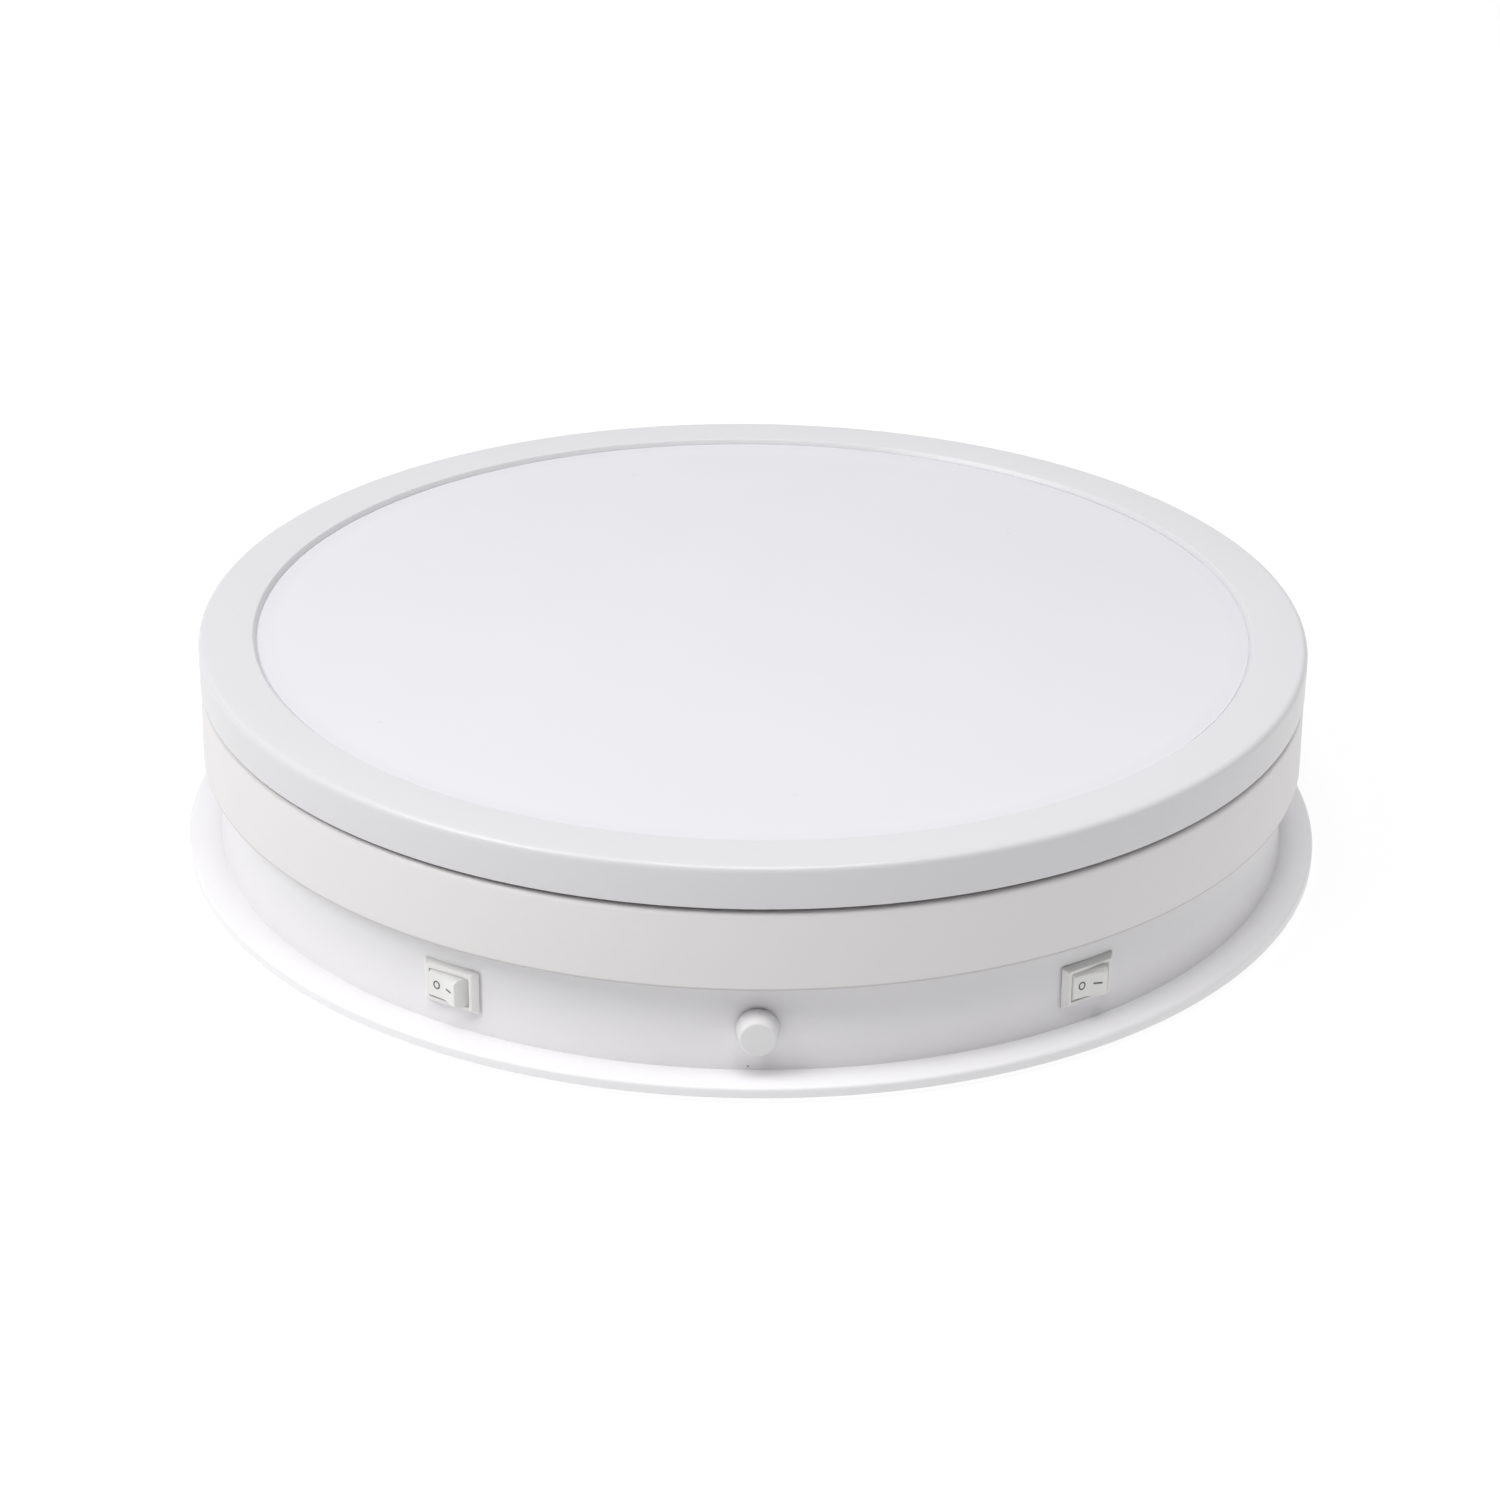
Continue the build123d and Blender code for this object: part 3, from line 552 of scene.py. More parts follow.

base_white = moulded("base_white", WHITE_BASE, 0.36, shade_bands=[WALL_PAINTED_SHADE], flecks=[WALL_FLECK])
plate_white = moulded("plate_white", WHITE_PLATE, 0.36)
ring_white = moulded("ring_white", WHITE_RING, 0.40, shade_bands=[RING_PAINTED_SHADE])
rim_white = moulded("rim_white", WHITE_RIM, 0.31, 1.1, 0.008, 0.01)
face_white = frosted_face("face_white", WHITE_FACE)
switch_white = moulded("switch_white", WHITE_SWITCH, 0.30, 0.25, 0.004, 0.006)
knob_white = moulded("knob_white", WHITE_KNOB, 0.38, 0.3, 0.006, 0.008)
switch_ink = printed_ink("switch_ink", GREY_INK)
foot_black = rubber("foot_black", BLACK_RUBBER)
jack_black = moulded("jack_black", BLACK_JACK, 0.42, 0.3, 0.006, 0.01)
plated = metal("plated", GREY_PLATING, 0.3)

# ---- base: wall, deck, plate and feet ----
FLARE_START = 14.0
FLARE_R = 29.0
FLARE_STEPS = 8
DECK_EDGE = 2.0
CENTRE_BORE_R = 11.2
MOTOR_BORE_R = 6.2
MOTOR_HOLE_R = 1.7
MOTOR_HOLES = ((-19.0, -6.0), (19.0, -6.0), (0.0, -20.0))
RACE_HOLE_R = 2.1
SLIP_HOLE_R = 1.35
SLIP_HOLE_RING = 18.0
SWITCH_WINDOW = (19.0, 13.0)
KNOB_BORE_R = 3.55
JACK_BORE_R = 4.05
WALL_CUT = (-8.0, 6.0)
SCREW_HOLE_R = 1.7
SCREW_HEAD_R = 3.2
SCREW_SEAT = 1.6
BOSS_OUTER_R = 5.0
BOSS_BORE_R = 1.55
BOSS_BORE_DEPTH = 12.0
POST_R = 6.0
BASE_RIB = (58.0, 2.5)
BASE_RIB_MIDDLE = 137.0
BASE_RIB_DEPTH = 9.0
BOARD_AT = (-127.0, 15.0)
BOARD_HOLES = (36.0, 21.0)
FEET = 6
FOOT_RING_R = 158.0
FOOT_HOLE_R = 4.0
VENT = (34.0, 3.0, 1.45)
VENT_STEP = 8.0


def flare():
    """The wall's foot: an arc from the straight wall out to the corner on the flange."""
    drop = FLARE_START - PLATE_TOP
    points = []
    for k in range(FLARE_STEPS + 1):
        z = FLARE_START - drop * k / FLARE_STEPS
        lift = FLARE_START - z
        out = FLARE_R - math.sqrt(FLARE_R ** 2 - lift ** 2)
        points.append((min(WALL_R + out, CORNER_R), z, 0))
    return points


def wall_cutter(outline, front_deg, z):
    """A prism through the wall."""
    bm = bmesh.new()
    prism_into(bm, outline, *WALL_CUT)
    bmesh.ops.transform(bm, matrix=at_wall(front_deg, z, WALL_R), verts=bm.verts)
    return bm


def deck_holes():
    """The motor shaft's hole and the screw holes of the motor, lower race and slip ring."""
    low = DECK_LOW - CUT_PAST
    high = DECK_TOP + CUT_PAST
    motor_spots = [(x, MOTOR_Y + y) for x, y in MOTOR_HOLES]
    bm = bmesh.new()
    cylinders_into(bm, [(0, MOTOR_Y)], MOTOR_BORE_R, low, high)
    cylinders_into(bm, ring_spots(RACE_SCREWS, RACE_TRACK_R, 45.0), RACE_HOLE_R, low, high, 24)
    cylinders_into(bm, ring_spots(3, SLIP_HOLE_RING, 30.0), SLIP_HOLE_R, low, high, 24)
    cylinders_into(bm, motor_spots, MOTOR_HOLE_R, low, high, 24)
    return bm


def under_deck():
    """Screw bosses, posts below the lower race, and ribs."""
    top = DECK_LOW + OVERLAP
    core = PLATE_TOP + BOSS_BORE_DEPTH
    boss = [(BOSS_BORE_R, PLATE_TOP), (BOSS_OUTER_R, PLATE_TOP), (BOSS_OUTER_R, top)]
    boss += [(0, top), (0, core), (BOSS_BORE_R, core)]
    rib = box_outline(*BASE_RIB, 0, BASE_RIB_MIDDLE)
    bm = bmesh.new()
    lathes_into(bm, ring_spots(BOSSES, BOSS_R, 22.5), boss)
    cylinders_into(bm, ring_spots(RACE_SCREWS, RACE_TRACK_R, 15.0), POST_R, PLATE_TOP, top, 40)
    ribs_into(bm, rib, DECK_LOW - BASE_RIB_DEPTH, top, BOSSES, 22.5)
    return bm


def base_wall():
    """The wall, its foot and the deck in one moulding."""
    bm = bmesh.new()
    outline = [(WALL_IN, PLATE_TOP, 0), (WALL_IN, DECK_LOW, 0.8)]
    outline += [(CENTRE_BORE_R, DECK_LOW, 0), (CENTRE_BORE_R, DECK_TOP, 0.3)]
    outline += [(WALL_R - DECK_EDGE, DECK_TOP, 0.5), (WALL_R, DECK_TOP - DECK_EDGE, 0.5)]
    lathe_into(bm, rounded(outline + flare()))
    made = to_object("base_wall", bm)
    window = box_outline(*SWITCH_WINDOW)
    openings = [wall_cutter(window, a, CONTROL_Z) for a in (LEFT_SWITCH_DEG, RIGHT_SWITCH_DEG)]
    openings.append(wall_cutter(circle(KNOB_BORE_R, steps=50), 0, KNOB_Z))
    openings.append(wall_cutter(circle(JACK_BORE_R, steps=50), JACK_DEG, CONTROL_Z))
    return joined(cut(made, [deck_holes()] + openings), under_deck())


def base_plate():
    """The flat plate under the wall, with its screw wells, foot holes and vents."""
    bm = bmesh.new()
    outline = [(0, PLATE_LOW, 0), (FLANGE_R, PLATE_LOW, 0.5), (FLANGE_R, PLATE_TOP, 1.1), (0, PLATE_TOP, 0)]
    lathe_into(bm, rounded(outline))
    made = to_object("base_plate", bm)
    low = PLATE_LOW - CUT_PAST
    high = PLATE_TOP + CUT_PAST
    seat = PLATE_LOW + SCREW_SEAT
    well = [(0, low), (SCREW_HEAD_R, low), (SCREW_HEAD_R, seat)]
    well += [(SCREW_HOLE_R, seat), (SCREW_HOLE_R, high), (0, high)]
    along, across = BOARD_HOLES
    board = [(BOARD_AT[0] - y, BOARD_AT[1] + x) for x in (-along, along) for y in (-across, across)]
    tools = bmesh.new()
    lathes_into(tools, ring_spots(BOSSES, BOSS_R, 22.5) + board, well)
    cylinders_into(tools, ring_spots(FEET, FOOT_RING_R, 0.0), FOOT_HOLE_R, low, high)
    for k in (-2, -1, 0, 1, 2):
        prism_into(tools, box_outline(*VENT, 0, MOTOR_Y + VENT_STEP * k), low, high)
    return cut(made, [tools])


def feet():
    """Rubber feet with a hollow sole and a stem that snaps through the plate."""
    foot = bmesh.new()
    outline = [(0, 0.5, 0), (5, 0.5, 0.3), (5, 0, 0.3), (9, 0, 0.5), (9, PLATE_LOW, 0.4)]
    outline += [(3.95, PLATE_LOW, 0), (3.95, PLATE_TOP, 0)]
    outline += [(4.8, PLATE_TOP, 0.2), (3.2, FOOT_TOP, 0.4), (0, FOOT_TOP, 0)]
    lathe_into(foot, rounded(outline, 22.5), 64)
    bmesh.ops.translate(foot, verts=foot.verts, vec=(FOOT_RING_R * MM, 0, 0))
    return to_object("feet", around(foot, FEET))


part(base_wall(), "base", "base_plastic", base_white, "base_shell")
part(base_plate(), "base", "base_plastic", plate_white, "bottom_plate")
part(feet(), "base", "foot_rubber", foot_black, "rubber_feet")

# ---- platter: turning ring, panel rim and panel face ----
RING_R_TOP = 192.8
RING_T = 2.6
RING_PLATE_T = 3.2
RING_BORE_R = 5.05
RING_EDGE_R = 2.0
# Sunk screws as (count, circle, first angle, hole radius, head radius, head depth).
SUNK_SCREWS = ((6, RACE_TRACK_R, 30.0, 1.6, 3.2, 1.7), (4, 34.0, 45.0, 1.4, 2.8, 1.5))
BACK_HOLE_R = 2.1
BACK_HOLE_RING = 122.0
RING_RIBS = 12
RING_RIB = (60.0, 2.5)
RING_RIB_MIDDLE = 158.8
RING_RIB_DEPTH = 8.0
PANEL_WALL = 2.0
PANEL_ROUNDING = 2.3
RIM_HANG = 0.3
RIM_OVER_FACE = 0.02
LIP_R_TOP = 174.3
LUGS = 8
LUG = (3.4, 9.0, 0.5)
LUG_MIDDLE = 189.6
LUG_LOW = 66.4
LUG_HIGH = 71.6
LUG_BORE_R = 0.95
LUG_BORE_AT = 189.4
LUG_BORE_DEPTH = 4.0
FACE_GAP = 0.3


def turning_ring():
    """The round plate of the platter, its sloping skirt and the ribs between them."""
    bm = bmesh.new()
    under = RING_TOP - RING_PLATE_T
    outline = [(RING_BORE_R, under, 0), (RING_R_TOP - RING_T, under, 0.8)]
    outline += [(RING_R_LOW - RING_T, RING_LOW, 0.3), (RING_R_LOW, RING_LOW, 0.5)]
    outline += [(RING_R_TOP, RING_TOP, RING_EDGE_R), (RING_BORE_R, RING_TOP, 0)]
    lathe_into(bm, rounded(outline))
    made = to_object("turning_ring", bm)
    low = under - CUT_PAST
    high = RING_TOP + CUT_PAST
    tools = bmesh.new()
    for count, radius, first_deg, bore, head, sink in SUNK_SCREWS:
        hole = [(0, low), (bore, low), (bore, RING_TOP - sink), (head, RING_TOP), (head, high), (0, high)]
        lathes_into(tools, ring_spots(count, radius, first_deg), hole)
    cylinders_into(tools, ring_spots(6, BACK_HOLE_RING, 0.0), BACK_HOLE_R, low, high, 32)
    ribs = bmesh.new()
    rib = box_outline(*RING_RIB, 0, RING_RIB_MIDDLE)
    ribs_into(ribs, rib, under - RING_RIB_DEPTH, under + OVERLAP, RING_RIBS, 15.0)
    return joined(cut(made, [tools]), ribs)


def rim_lug():
    """One drilled lug on the inside of the rim, for a screw from below."""
    lug = bmesh.new()
    prism_into(lug, box_outline(*LUG, LUG_MIDDLE), LUG_LOW, LUG_HIGH)
    drill = bmesh.new()
    spots = [(LUG_BORE_AT, 0)]
    cylinders_into(drill, spots, LUG_BORE_R, LUG_LOW - CUT_PAST, LUG_LOW + LUG_BORE_DEPTH, 24)
    return cut(to_object("lug", lug), [drill])


def panel_rim():
    """The panel's rim: a bevelled lip over the face, a rounded edge, and lugs inside."""
    inner = PANEL_R - PANEL_WALL
    low = PANEL_LOW - RIM_HANG
    seat = RIM_STEP + RIM_OVER_FACE
    bm = bmesh.new()
    outline = [(LIP_R_LOW, seat, 0.15), (LIP_R_TOP, PANEL_TOP, 0.6), (PANEL_R, PANEL_TOP, PANEL_ROUNDING)]
    outline += [(PANEL_R, low, 0.8), (inner, low, 0.3), (inner, seat, 0)]
    lathe_into(bm, rounded(outline, 9.0))
    for k in range(LUGS):
        lug = rim_lug()
        lug.data.transform(Matrix.Rotation(math.radians(360 / LUGS * k), 4, "Z"))
        bm.from_mesh(lug.data)
        bpy.data.objects.remove(lug)
    return to_object("panel_rim", bm)


def panel_face():
    """The frosted sheet, stepped down at its edge to pass under the rim's lip."""
    bm = bmesh.new()
    edge = LIP_R_LOW - FACE_GAP
    outline = [(0, FACE_LOW, 0), (FACE_R, FACE_LOW, 0.1), (FACE_R, RIM_STEP, 0.2), (edge, RIM_STEP, 0)]
    outline += [(edge, FACE_TOP, 0.12), (0, FACE_TOP, 0)]
    lathe_into(bm, rounded(outline, 22.5))
    return to_object("panel_face", bm)


part(turning_ring(), "platter", "drum_plastic", ring_white, "platter_drum")
part(panel_rim(), "platter", "frame_paint", rim_white, "panel_frame")
part(panel_face(), "platter", "diffuser_acrylic", face_white, "diffuser")

# ---- speed knob ----
KNOB_R_LOW = 6.95
KNOB_R_TOP = 5.8
KNOB_SKIRT_R = 6.05
KNOB_SKIRT_DEPTH = 2.2
KNOB_BORE_R = 3.03
KNOB_END_T = 1.6


def knob():
    """A plain tapering knob, hollow at its skirt, with a bore for the shaft."""
    length = KNOB_TIP - KNOB_BACK
    bm = bmesh.new()
    outline = [(KNOB_BORE_R, KNOB_SKIRT_DEPTH, 0), (KNOB_SKIRT_R, KNOB_SKIRT_DEPTH, 0)]
    outline += [(KNOB_SKIRT_R, 0, 0.1), (KNOB_R_LOW, 0, 0.25)]
    outline += [(KNOB_R_TOP, length, 0.7), (0, length, 0)]
    outline += [(0, length - KNOB_END_T, 0), (KNOB_BORE_R, length - KNOB_END_T, 0)]
    lathe_into(bm, rounded(outline, 11.25), 128)
    return moved(to_object("knob", bm), at_wall(0, KNOB_Z, KNOB_BACK))


part(knob(), "knob", "knob_plastic", knob_white, "speed_knob")

# ---- rocker switches: the bezel ----
SWITCH_FACE = WALL_R + 0.1
BEZEL = (21.0, 15.0, 0.7)
BEZEL_TOP = (17.2, 12.4, 0.9)
BEZEL_T = 2.0
BEZEL_EDGE = 0.22
BEZEL_EDGE_SHARP_DEG = 40.0
BRIM_T = 0.2
SEAT_SINK = 0.08
SEAT_LIFT = 0.75
SEAT_LIFT_FROM = 8.5
SEAT_LIFT_OVER = 2.0
SWITCH_BODY = (18.6, 12.6, 0.5)
SWITCH_BODY_LOW = -13.0
SWITCH_BODY_TOP = -0.5
OPENING = (15.2, 10.4, 0.5)
OPENING_FLOOR = -8.0
TERMINAL_SLOT = (0.8, 4.8, 0.0)
TERMINAL_SLOT_TOP = -7.5
TERMINAL_X = 5.0
PIVOT_DEPTH = -2.0
PIVOT_HOLE = (1.05, 5.9)
PIVOT_PIN = (1.0, 5.7)


def level_loop(width, height, radius, z):
    """A rounded rectangle as a loop at one height."""
    return [(p[0], p[1], z) for p in box_outline(width, height, radius)]


def seat_on_wall(points, inward):
    """Lays a level loop on the round wall, but lifts its end nearest the front by a hair gap."""
    seated = []
    for x, y, z in points:
        lift = min(1.0, max(0.0, (x * inward - SEAT_LIFT_FROM) / SEAT_LIFT_OVER))
        seated.append((x, y, z - SEAT_SINK - x * x / (2 * WALL_R) + SEAT_LIFT * lift))
    return seated


def cross_pin(radius, half_length):
    """A round pin along the rocker's axis."""
    pin = bmesh.new()
    prism_into(pin, circle(radius, steps=32), -half_length, half_length)
    bmesh.ops.rotate(pin, verts=pin.verts, matrix=Matrix.Rotation(math.radians(90), 3, "X"))
    return pin


def bezel(name, front_deg):
    """The frame round a switch, and the body behind it, built face up."""
    inward = 1 if front_deg < 0 else -1
    seated = seat_on_wall(level_loop(*BEZEL, 0), inward)
    brim = [(x, y, max(BRIM_T, z + SEAT_SINK)) for x, y, z in seated]
    loops = [level_loop(*SWITCH_BODY, SWITCH_BODY_LOW), level_loop(*SWITCH_BODY, SWITCH_BODY_TOP)]
    loops += [seated, brim, level_loop(*BEZEL_TOP, BEZEL_T)]
    loops += [level_loop(*OPENING, BEZEL_T), level_loop(*OPENING, OPENING_FLOOR)]
    bm = bmesh.new()
    loft_into(bm, loops)
    made = bevelled(to_object(name, bm), BEZEL_EDGE, BEZEL_EDGE_SHARP_DEG)
    socket = cross_pin(*PIVOT_HOLE)
    bmesh.ops.translate(socket, verts=socket.verts, vec=(0, 0, PIVOT_DEPTH * MM))
    slots = bmesh.new()
    for x in (-TERMINAL_X, TERMINAL_X):
        prism_into(slots, box_outline(*TERMINAL_SLOT, x), SWITCH_BODY_LOW - CUT_PAST, TERMINAL_SLOT_TOP)
    cut(made, [socket, slots])
    return moved(made, at_wall(front_deg, CONTROL_Z, SWITCH_FACE))


# ---- rocker switches: the rocker, measured from its pivot ----
ROCKER_TILT = 14.0
ROCKER_HALF = 4.95
ROCKER_LONG = 7.2
ROCKER_SHOULDER = 1.0
ROCKER_RISE = 5.3
ROCKER_MIDDLE_TOP = 5.2
ROCKER_SLIDE = 1.2
ROCKER_HOLLOW_R = 8.0
ROCKER_SHARP_DEG = 35.0
UNDERSIDE = ((6.8, -2.6), (2.0, -3.4), (-2.0, -3.4), (-6.8, -2.6))
FACE_HALF = 3.75
FACE_EDGE = 0.5
FACE_EDGE_STEPS = 5
FACE_EDGE_STEP_DEG = 15
SIDE_EDGE = (0.25, 1.0)
SIDE_DROP = 1.5


def rocker_sections():
    """Half-heights and drops across the rocker: flat face, rounded edge, sloping side."""
    sections = [(0.0, 0.0), (FACE_HALF, 0.0)]
    for k in range(1, FACE_EDGE_STEPS + 1):
        turn = math.radians(FACE_EDGE_STEP_DEG * k)
        sections.append((FACE_HALF + FACE_EDGE * math.sin(turn), FACE_EDGE * (1 - math.cos(turn))))
    sections += [(ROCKER_HALF - SIDE_EDGE[0], SIDE_EDGE[1]), (ROCKER_HALF, SIDE_DROP)]
    return sections


def rocker_place(front_deg):
    """The rocker's pivot on the wall, tilted to its stored position."""
    tilt = Matrix.Rotation(math.radians(-ROCKER_TILT), 4, "Y")
    pivot = Matrix.Translation((0, 0, PIVOT_DEPTH * MM))
    return at_wall(front_deg, CONTROL_Z, SWITCH_FACE) @ pivot @ tilt


def profile(drop):
    """The rocker outline, with a fixed number of points whatever the drop."""
    rise = ROCKER_SHOULDER + (ROCKER_RISE - drop)
    slide = ROCKER_SLIDE * (ROCKER_RISE - drop) / ROCKER_RISE
    corners = [(-ROCKER_LONG, ROCKER_SHOULDER, 0.3), (-ROCKER_LONG + slide, rise, 0.5)]
    corners += [(0, ROCKER_MIDDLE_TOP - drop, ROCKER_HOLLOW_R)]
    corners += [(ROCKER_LONG - slide, rise, 0.5), (ROCKER_LONG, ROCKER_SHOULDER, 0.3)]
    corners += [(x, z, 0.4) for x, z in UNDERSIDE]
    return rounded(corners, count=6)


def button(name, front_deg):
    """The rocker with its pivot pin."""
    bm = bmesh.new()
    sections = rocker_sections()
    both = [(-y, d) for y, d in reversed(sections[1:])] + sections
    loft_into(bm, [[(p.x, y, p.y) for p in profile(drop)] for y, drop in both])
    pin = cross_pin(*PIVOT_PIN)
    add_bmesh(bm, pin)
    pin.free()
    return moved(to_object(name, bm, ROCKER_SHARP_DEG), rocker_place(front_deg))


# ---- rocker switches: a ring and a dash on the rocker's face ----
MARK_X = 2.8
MARK_UP = 0.35
MARK_RAISE = 0.05
MARK_SINK = -0.1
RING_OUTER = (2.7, 3.0)
RING_INNER = (1.7, 2.0)
DASH = (3.0, 0.6, 0.12)
FACE_SLOPE = math.atan(1.1 / 6.0)


def ellipse(width, height):
    turns = [2 * math.pi * k / 48 for k in range(48)]
    return [(width / 2 * math.cos(t), height / 2 * math.sin(t)) for t in turns]


def mark_place(side, front_deg):
    """On one half of the rocker's face, which slopes up towards its end."""
    height = ROCKER_MIDDLE_TOP + math.tan(FACE_SLOPE) * MARK_X
    spot = Matrix.Translation(Vector((side * MARK_X, MARK_UP, height)) * MM)
    return rocker_place(front_deg) @ spot @ Matrix.Rotation(-side * FACE_SLOPE, 4, "Y")


def ring_mark(name, front_deg):
    """A thin raised ring."""
    outer = ellipse(*RING_OUTER)
    inner = ellipse(*RING_INNER)
    lines = ((inner, MARK_SINK), (outer, MARK_SINK), (outer, MARK_RAISE), (inner, MARK_RAISE))
    bm = bmesh.new()
    loft_into(bm, [[(*p, z) for p in line] for line, z in lines], round_again=True)
    return moved(to_object(name, bm), mark_place(-1, front_deg))


def dash_mark(name, front_deg):
    """A thin raised dash."""
    bm = bmesh.new()
    prism_into(bm, box_outline(*DASH), MARK_SINK, MARK_RAISE)
    return moved(to_object(name, bm), mark_place(1, front_deg))


for side, angle in (("left", LEFT_SWITCH_DEG), ("right", RIGHT_SWITCH_DEG)):
    body = side + "_switch_button"
    part(bezel(side + "_bezel", angle), "base", "switch_plastic", switch_white, side + "_switch_housing")
    part(button(side + "_button", angle), body, "switch_plastic", switch_white, side + "_rocker")
    part(ring_mark(side + "_ring_mark", angle), body, "switch_plastic", switch_ink)
    part(dash_mark(side + "_dash_mark", angle), body, "switch_plastic", switch_ink)

# ---- power inlet, measured from the wall ----
INLET_FLANGE_R = 5.5
INLET_FLANGE_T = 2.0
INLET_BARREL_R = 4.0
INLET_END_R = 4.6
INLET_END = -16.0
INLET_STEP = -11.0
INLET_SOCKET_R = 2.85
INLET_SOCKET_FLOOR = -9.5
WALL_GAP = 0.15
PIN_R = 1.0
PIN_END = 0.8
SOLDER_TAG = (0.6, 2.4, 0.0)
SOLDER_TAG_X = 2.5
SOLDER_TAG_LOW = -20.0
SOLDER_TAG_TOP = -15.5


def inlet():
    """The round power socket in the back of the wall."""
    bm = bmesh.new()
    outline = [(0, INLET_END, 0), (INLET_END_R, INLET_END, 0.3), (INLET_END_R, INLET_STEP, 0)]
    outline += [(INLET_BARREL_R, INLET_STEP, 0), (INLET_BARREL_R, WALL_GAP, 0)]
    outline += [(INLET_FLANGE_R, WALL_GAP, 0.1), (INLET_FLANGE_R, INLET_FLANGE_T, 0.45)]
    outline += [(INLET_SOCKET_R, INLET_FLANGE_T, 0.3)]
    outline += [(INLET_SOCKET_R, INLET_SOCKET_FLOOR, 0), (0, INLET_SOCKET_FLOOR, 0)]
    lathe_into(bm, rounded(outline, 15.0), 96)
    return moved(to_object("inlet", bm), at_wall(JACK_DEG, CONTROL_Z, WALL_R))


def inlet_pin():
    """The socket's centre pin, and two solder tags behind it."""
    low = INLET_SOCKET_FLOOR - 0.1
    bm = bmesh.new()
    outline = rounded([(0, low, 0), (PIN_R, low, 0), (PIN_R, PIN_END, 0.45), (0, PIN_END, 0)], 15.0)
    lathe_into(bm, outline, 48)
    for x in (-SOLDER_TAG_X, SOLDER_TAG_X):
        prism_into(bm, box_outline(*SOLDER_TAG, x), SOLDER_TAG_LOW, SOLDER_TAG_TOP)
    return moved(to_object("inlet_pin", bm), at_wall(JACK_DEG, CONTROL_Z, WALL_R))


part(inlet(), "base", "jack_plastic", jack_black, "dc_jack")
part(inlet_pin(), "base", "contact_brass", plated)

# ---- looks of the inner parts, by slot ----
INNER = {
    "inner_plastic": moulded("inner_plastic_look", (0.74, 0.74, 0.71), 0.45),
    "screw_steel": metal("screw_steel_look", (0.52, 0.52, 0.54), 0.3),
    "race_steel": metal("race_steel_look", (0.66, 0.66, 0.68), 0.22),
    "gear_nylon": moulded("gear_nylon_look", (0.78, 0.77, 0.70), 0.42, 0.3),
    "gearbox_steel": metal("gearbox_steel_look", (0.56, 0.56, 0.57), 0.36),
    "nut_metal": metal("nut_metal_look", (0.62, 0.60, 0.55), 0.28),
    "contact_brass": metal("contact_brass_look", (0.72, 0.54, 0.27), 0.3),
    "shaft_aluminium": metal("shaft_aluminium_look", (0.72, 0.73, 0.75), 0.3, (1, 20, 1)),
    "jack_plastic": moulded("black_plastic_look", (0.03, 0.03, 0.032), 0.4, 0.3, 0.006, 0.01),
    "board_laminate": moulded("board_laminate_look", (0.03, 0.17, 0.08), 0.33, 0.25),
    "terminal_plastic": moulded("terminal_plastic_look", (0.06, 0.24, 0.12), 0.4, 0.3),
    "foam": rubber("foam_look", (0.30, 0.30, 0.31)),
    "reflector_film": moulded("reflector_film_look", (0.82, 0.82, 0.82), 0.22, 1.0, 0.002, 0.01),
    "guide_acrylic": moulded("guide_acrylic_look", (0.78, 0.80, 0.81), 0.12, 1.0, 0.002, 0.01),
    "strip_film": moulded("strip_film_look", (0.72, 0.66, 0.48), 0.35, 0.3),
    "led_resin": moulded("led_resin_look", (0.80, 0.72, 0.34), 0.25, 0.3, 0.004, 0.01),
    "cable_jacket": rubber("cable_jacket_look", (0.05, 0.05, 0.052)),
}
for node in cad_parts.values():
    for seat in node.material_slots:
        if seat.material and seat.material.name in INNER:
            seat.material = INNER[seat.material.name]

# ---- floor: pale, with a faint glow of its own that keeps shadows light ----
FLOOR_TONE = (0.25, 0.25, 0.25)
FLOOR_GLOW = 0.79
FLOOR_R = 6000.0
FLOOR_T = 20.0
WHITE = (1.0, 1.0, 1.0, 1.0)

floor_bm = bmesh.new()
prism_into(floor_bm, circle(FLOOR_R, steps=96), -FLOOR_T, 0.0)
floor = to_object("floor", floor_bm)
floor_look = moulded("floor_look", FLOOR_TONE, 0.8, 2.0, 0.004, 0.01)
floor_shader = floor_look.node_tree.nodes["Principled BSDF"]
floor_shader.inputs["Specular IOR Level"].default_value = 0.0
floor_shader.inputs["Emission Color"].default_value = WHITE
floor_shader.inputs["Emission Strength"].default_value = FLOOR_GLOW
floor.data.materials.append(floor_look)

# ---- room: dim, a little brighter above and to the right, darkest in front ----
ROOM_TONE = 0.43
ROOM_RIGHT = 0.04
ROOM_UP = 0.15
DARK_AT = Vector((0.20, -0.94, 0.25)).normalized()
DARK_BY = 0.97
DARK_FROM = 0.30
DARK_FULL = 0.95


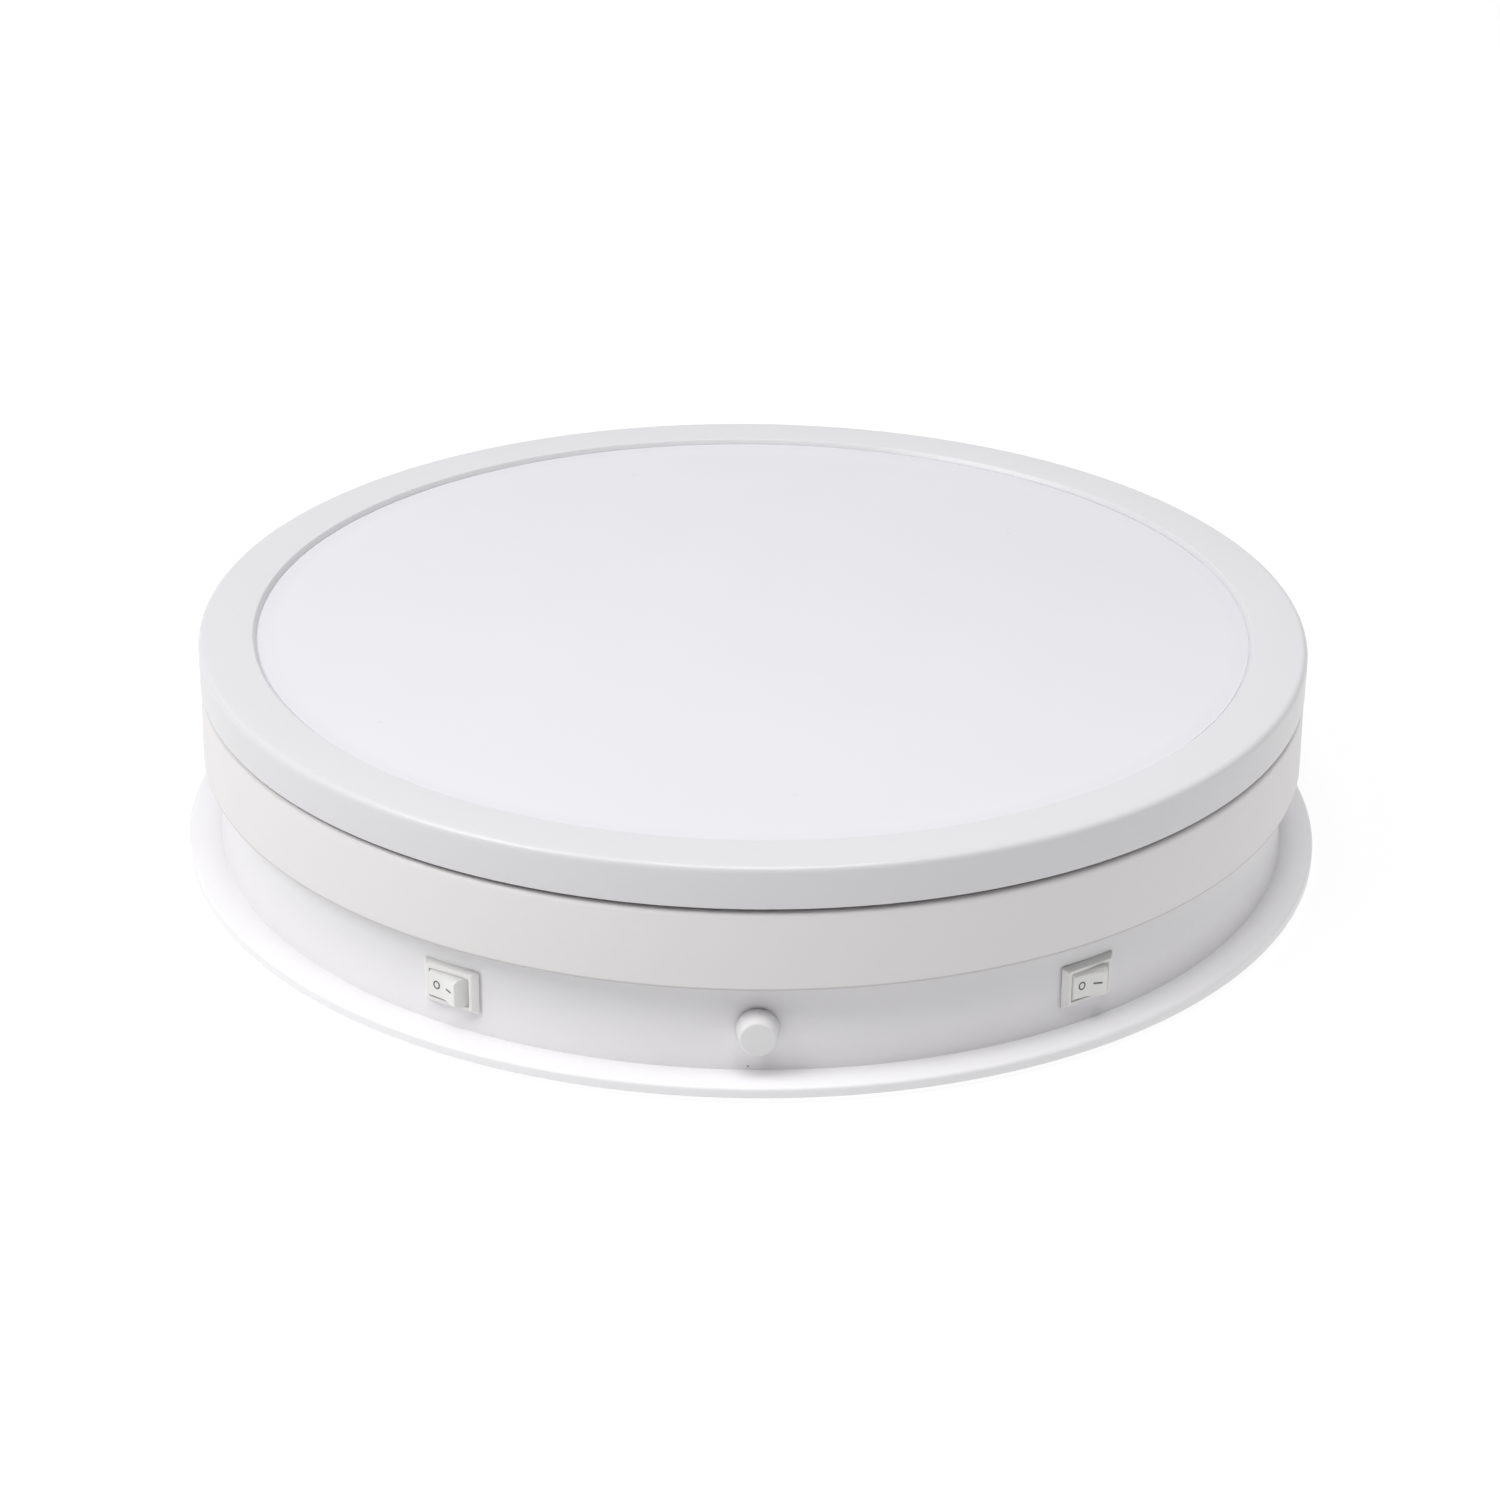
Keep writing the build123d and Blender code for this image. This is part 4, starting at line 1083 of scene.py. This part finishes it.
def studio_world():
    """The room's light on the object. Seen directly, the room is white."""
    made = bpy.data.worlds.new("studio")
    made.use_nodes = True
    tree = made.node_tree
    nodes, links = tree.nodes, tree.links

    def maths(operation, a, b):
        node = nodes.new("ShaderNodeMath")
        node.operation = operation
        for socket, value in zip(node.inputs, (a, b)):
            if isinstance(value, float):
                socket.default_value = value
            else:
                links.new(value, socket)
        return node.outputs["Value"]

    facing = nodes.new("ShaderNodeTexCoord").outputs["Generated"]
    split = nodes.new("ShaderNodeSeparateXYZ")
    links.new(facing, split.inputs["Vector"])
    total = ROOM_TONE
    for axis, share in (("X", ROOM_RIGHT), ("Z", ROOM_UP)):
        total = maths("ADD", maths("MULTIPLY", split.outputs[axis], share), total)
    dot = nodes.new("ShaderNodeVectorMath")
    dot.operation = "DOT_PRODUCT"
    links.new(facing, dot.inputs[0])
    dot.inputs[1].default_value = DARK_AT
    near = nodes.new("ShaderNodeMapRange")
    near.interpolation_type = "SMOOTHSTEP"
    near.inputs["From Min"].default_value = DARK_FROM
    near.inputs["From Max"].default_value = DARK_FULL
    near.inputs["To Min"].default_value = 1.0
    near.inputs["To Max"].default_value = 1.0 - DARK_BY
    links.new(dot.outputs["Value"], near.inputs["Value"])
    seen = nodes.new("ShaderNodeLightPath").outputs["Is Camera Ray"]
    strength = maths("MAXIMUM", maths("MULTIPLY", total, near.outputs["Result"]), seen)
    links.new(strength, nodes["Background"].inputs["Strength"])
    nodes["Background"].inputs["Color"].default_value = WHITE
    return made


bpy.context.scene.world = studio_world()

# ---- lamps: name, place, width and power ----
LAMPS = (("key", (-2130, -770, 2640), 2000, 51), ("overhead", (60, -770, 3100), 1900, 44))
LAMP_AIM = Vector((0, 0, 40)) * MM


def soft_light(name, place, size, power):
    """A round soft lamp that faces the middle of the object."""
    data = bpy.data.lights.new(name, "AREA")
    data.shape = "DISK"
    data.size = size * MM
    data.energy = power
    lamp = bpy.data.objects.new(name, data)
    collection.objects.link(lamp)
    place = Vector(place) * MM
    facing = (LAMP_AIM - place).to_track_quat("-Z", "Y").to_matrix().to_4x4()
    lamp.matrix_world = Matrix.Translation(place) @ facing


for lamp in LAMPS:
    soft_light(*lamp)
bpy.context.scene.view_settings.view_transform = "Standard"
